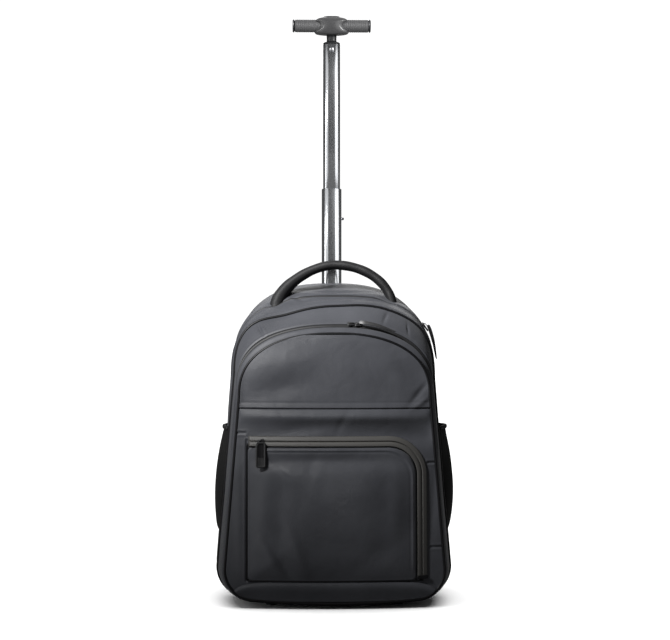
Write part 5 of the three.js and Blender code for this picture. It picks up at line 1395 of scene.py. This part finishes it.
# Solid rubber: matt, a little paler where it scuffs on the floor.
rubber_finish = new_finish("solid_rubber", "121212", 0.75, Specular_IOR_Level=0.3)
tree = rubber_finish.node_tree
place = add_node(tree, "TexCoord")
scuffs = add_node(tree, "TexNoise", {"Vector": place.outputs["Object"], "Scale": 120, "Detail": 6})
ramp = add_node(tree, "ValToRGB", {"Fac": scuffs.outputs["Fac"]})
ramp.color_ramp.elements[0].color = linear("0e0e0e")
ramp.color_ramp.elements[1].color = linear("1f1e1d")
tree.links.new(ramp.outputs[0], tree.nodes["Principled BSDF"].inputs["Base Color"])
for side, hand in [(1, "right"), (-1, "left")]:
    half = WHEEL_WIDTH / 2
    aside = np.linspace(-half, half, 49)
    crown = WHEEL_RADIUS - 5.2 * (np.abs(aside) / half) ** 5
    crown = crown - 0.7 * np.clip(np.cos(2 * np.pi * aside / 5.5) - 0.55, 0, 1) * 2
    inner = WHEEL_RADIUS - 9
    profile = np.concatenate([
        [(inner, -half + 1.5), (inner + 2, -half + 0.4)],
        np.stack([crown, aside], -1),
        [(inner + 2, half - 0.4), (inner, half - 1.5)],
    ])
    angle = np.linspace(0, 2 * np.pi, 97)[:-1]
    radius, along = profile.T[:, :, None]
    points = np.stack([
        side * WHEEL_MIDDLE + along + 0 * angle,
        AXLE_Y + radius * np.cos(angle),
        WHEEL_RADIUS + radius * np.sin(angle),
    ], -1)
    tyre = surface("tyre_" + hand, points, round_rows=True, round_columns=True)
    fit(tyre, rubber_finish, "wheel_tyre_" + hand, "wheel_" + hand)
    disc = [
        (4.3, -half + 1), (8.6, -half + 0.9), (9.2, -half + 1.6), (9.8, -5), (10.8, -4.2),
        (19, -4), (20.4, -4.6), (21.6, -half + 3), (22.4, -half + 2.1), (24.7, -half + 2.1),
    ]
    both = np.array(disc + [(r, -a) for r, a in reversed(disc)])
    radius, along = both.T[:, :, None]
    spokes = 1.1 * np.cos(6 * angle) * bell(radius - 15, 4) * np.sign(along)
    points = np.stack([
        side * WHEEL_MIDDLE + along + spokes,
        AXLE_Y + radius * np.cos(angle),
        WHEEL_RADIUS + radius * np.sin(angle),
    ], -1)
    rim = surface("rim_" + hand, points, round_rows=True, round_columns=True)
    fit(rim, moulded_finish, "wheel_rim_" + hand, "wheel_" + hand)


# The zip sliders and pulls: die-cast sliders, blackened, each with a bridge on its back, and
# pressed metal pulls through the bridge. The organiser's zip has two sliders, and its pull and the
# main one lie to the right.
SLIDER_LENGTH, SLIDER_WIDE, SLIDER_HIGH = 12, 8, 4
PULL_THICK = 1.6
# Die-cast zinc, blackened: dark and fairly dull, its shine broken up where fingers have worn it.
slider_finish = new_finish("blackened_zinc", "1c1c1d", 0.42, Metallic=0.3)
tree = slider_finish.node_tree
place = add_node(tree, "TexCoord")
worn = add_node(tree, "TexNoise", {"Vector": place.outputs["Object"], "Scale": 420, "Detail": 3})
rough = add_node(
    tree, "MapRange", {"Value": worn.outputs["Fac"], "To Min": 0.34, "To Max": 0.56}
)
tree.links.new(rough.outputs[0], tree.nodes["Principled BSDF"].inputs["Roughness"])


def join_meshes(name, parts, finish, node):
    """Several closed shapes made one piece."""
    whole = bmesh.new()
    for part in parts:
        whole.from_mesh(part.data)
        bpy.data.objects.remove(part)
    mesh = bpy.data.meshes.new(name)
    whole.to_mesh(mesh)
    whole.free()
    piece = bpy.data.objects.new(name, mesh)
    bpy.context.collection.objects.link(piece)
    mesh.materials.append(finish)
    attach(piece, "bag")
    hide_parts(node)
    return piece


def slider(name, at, along, out, size=1.0):
    """A boat: a squarish section carried along the zip, wide at the nose and narrow at the tail,
    with an arched bridge over it."""
    at, along, out = (np.array(value, float) for value in (at, along, out))
    along, out = along / np.linalg.norm(along), out / np.linalg.norm(out)
    share = np.linspace(-1, 1, 25)
    wide = SLIDER_WIDE * size * (0.84 + 0.16 * np.tanh(2.5 * share)) * (1 - 0.35 * np.abs(share) ** 8)
    high = 2.6 * (1 - 0.55 * np.abs(share) ** 6)
    path = at + along * (share * SLIDER_LENGTH * size / 2)[:, None] + out * 1.35
    profile = oval(1, 1, 3.5, 24)[None] * np.stack([wide, high], -1)[:, None, :]
    body = surface(
        name, carried(path, profile, np.cross(out, along)), round_columns=True, caps=True
    )
    turn = np.linspace(0, np.pi, 21)
    rise = (1.9 + 2.1 * size * np.sin(turn) ** 0.6)[:, None]
    arch = at + along * (-4.2 * size * np.cos(turn))[:, None] + out * rise
    bridge = surface(
        name + "_bridge", carried(arch, oval(2.4, 1.1, 3), np.cross(out, along)),
        round_columns=True, caps=True,
    )
    return [body, bridge]


def pull(name, rows, across):
    """A flat tongue along rows of place and width, with a raised rim down both edges."""
    rows = flowing(np.array(rows, float), 60)
    lobe = 1 - 0.5 * np.abs(np.linspace(-1, 1, 60)) ** 16
    flat = oval(1, 1, 4, 32)
    dished = flat * np.stack([0 * flat[:, 0] + 1, 1 - 0.45 * bell(flat[:, 0], 0.26)], -1)
    size = np.stack([rows[:, 3] * lobe, 0 * lobe + PULL_THICK], -1)
    return surface(
        name, carried(rows[:, :3], dished[None] * size[:, None, :], across),
        round_columns=True, caps=True,
    )


for name, around, depth, rows in [
    ("organiser", 0.47, ORGANISER_ZIP_DEPTH,
     [(0, -0.6, 1.1, 5), (10, -3.6, 0.4, 5.4), (30, -5.6, -4, 4.6), (55, -6.6, -13, 2.2)]),
    ("main", 0.325, MAIN_ZIP_DEPTH,
     [(2, 0, 1.5, 6), (6, -1.4, -9, 6.4), (11, -2.6, -28, 5), (15, -3, -52, 2.4)]),
]:
    at = skin(np.array(around), depth, 1.6)
    along = skin(np.array(around + 0.006), depth, 1.6) - at
    behind = skin(np.array(around), depth + 2, 1.6) - at
    out = np.cross(behind, along)
    out = out * np.sign((out * (at - np.array([0, at[1], 245]))).sum())
    parts = slider(name + "_body", at, along, out, 1.0 if name == "organiser" else 1.35)
    if name == "organiser":
        second = skin(np.array(around + 0.011), depth, 1.6)
        parts += slider("second_body", second, along, out)
    join_meshes(name + "_zip_slider", parts, slider_finish, name + "_slider")
    start = at + out / np.linalg.norm(out) * (SLIDER_HIGH + 0.3)
    places = [(*(start + np.array(row[:3])), row[3]) for row in rows]
    join_meshes(
        name + "_zip_pull",
        [pull(name + "_tongue", places, (0, 0.3, 1) if name == "organiser" else (1, 0.6, 0))],
        slider_finish, name + "_pull",
    )

slider_low, slider_high = (np.array(corner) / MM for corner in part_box("pocket_slider"))
middle = (slider_low + slider_high) / 2
at = np.array([middle[0], slider_high[1] + 1.4, middle[2]])
ring = np.linspace(0, 2 * np.pi, 33)[:-1]
loop_path = np.stack([
    at[0] + 3.4 * np.cos(ring), at[1] - 5.6 - 0 * ring, at[2] - 1.5 + 4.2 * np.sin(ring)
], -1)
loop = surface(
    "pocket_ring", carried(loop_path, oval(1.7, 1.7), (0, 1, 0), closed=True),
    round_rows=True, round_columns=True,
)
join_meshes(
    "pocket_zip_slider", [*slider("pocket_body", at, (1, 0, 0), (0, -1, 0)), loop], slider_finish,
    "pocket_slider",
)
pull_low, pull_high = (np.array(corner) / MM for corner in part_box("pocket_pull"))
tab_top, tab_foot = pull_high[2] - 3, pull_low[2] - 1
frame_path = rounded(-6.1, 6.1, tab_foot, tab_top, 2.6, 2.6, 0, 120)
down = (tab_top - frame_path[:, 1]) / (tab_top - tab_foot)
frame_path = np.stack([
    at[0] + frame_path[:, 0], at[1] - 7 - 5.5 * down, frame_path[:, 1]
], -1)
tab = surface(
    "pocket_tab_frame", carried(frame_path, oval(2.6, 3.4, 3), (0, 1, 0), closed=True),
    round_rows=True, round_columns=True,
)
plate_rows = [
    (at[0], at[1] - 7 - 5.5 * s, tab_top + (tab_foot - tab_top) * s, 10.5) for s in (0.62, 0.8, 0.98)
]
plate = pull("pocket_tab_plate", plate_rows, (1, 0, 0))
floor_rows = [(x, y + 0.9, z, 9.6) for x, y, z, _ in plate_rows]
floor_rows[0] = (at[0], at[1] - 6.2, tab_top - 0.4, 9.6)
recess = pull("pocket_tab_recess", floor_rows, (1, 0, 0))
fit(recess, piping_finish)
recess.parent = join_meshes(
    "pocket_zip_pull", [tab, plate], slider_finish, "pocket_pull"
)

visual_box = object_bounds()
boxes = [[list(map(float, corner)) for corner in box] for box in (cad_box, visual_box)]
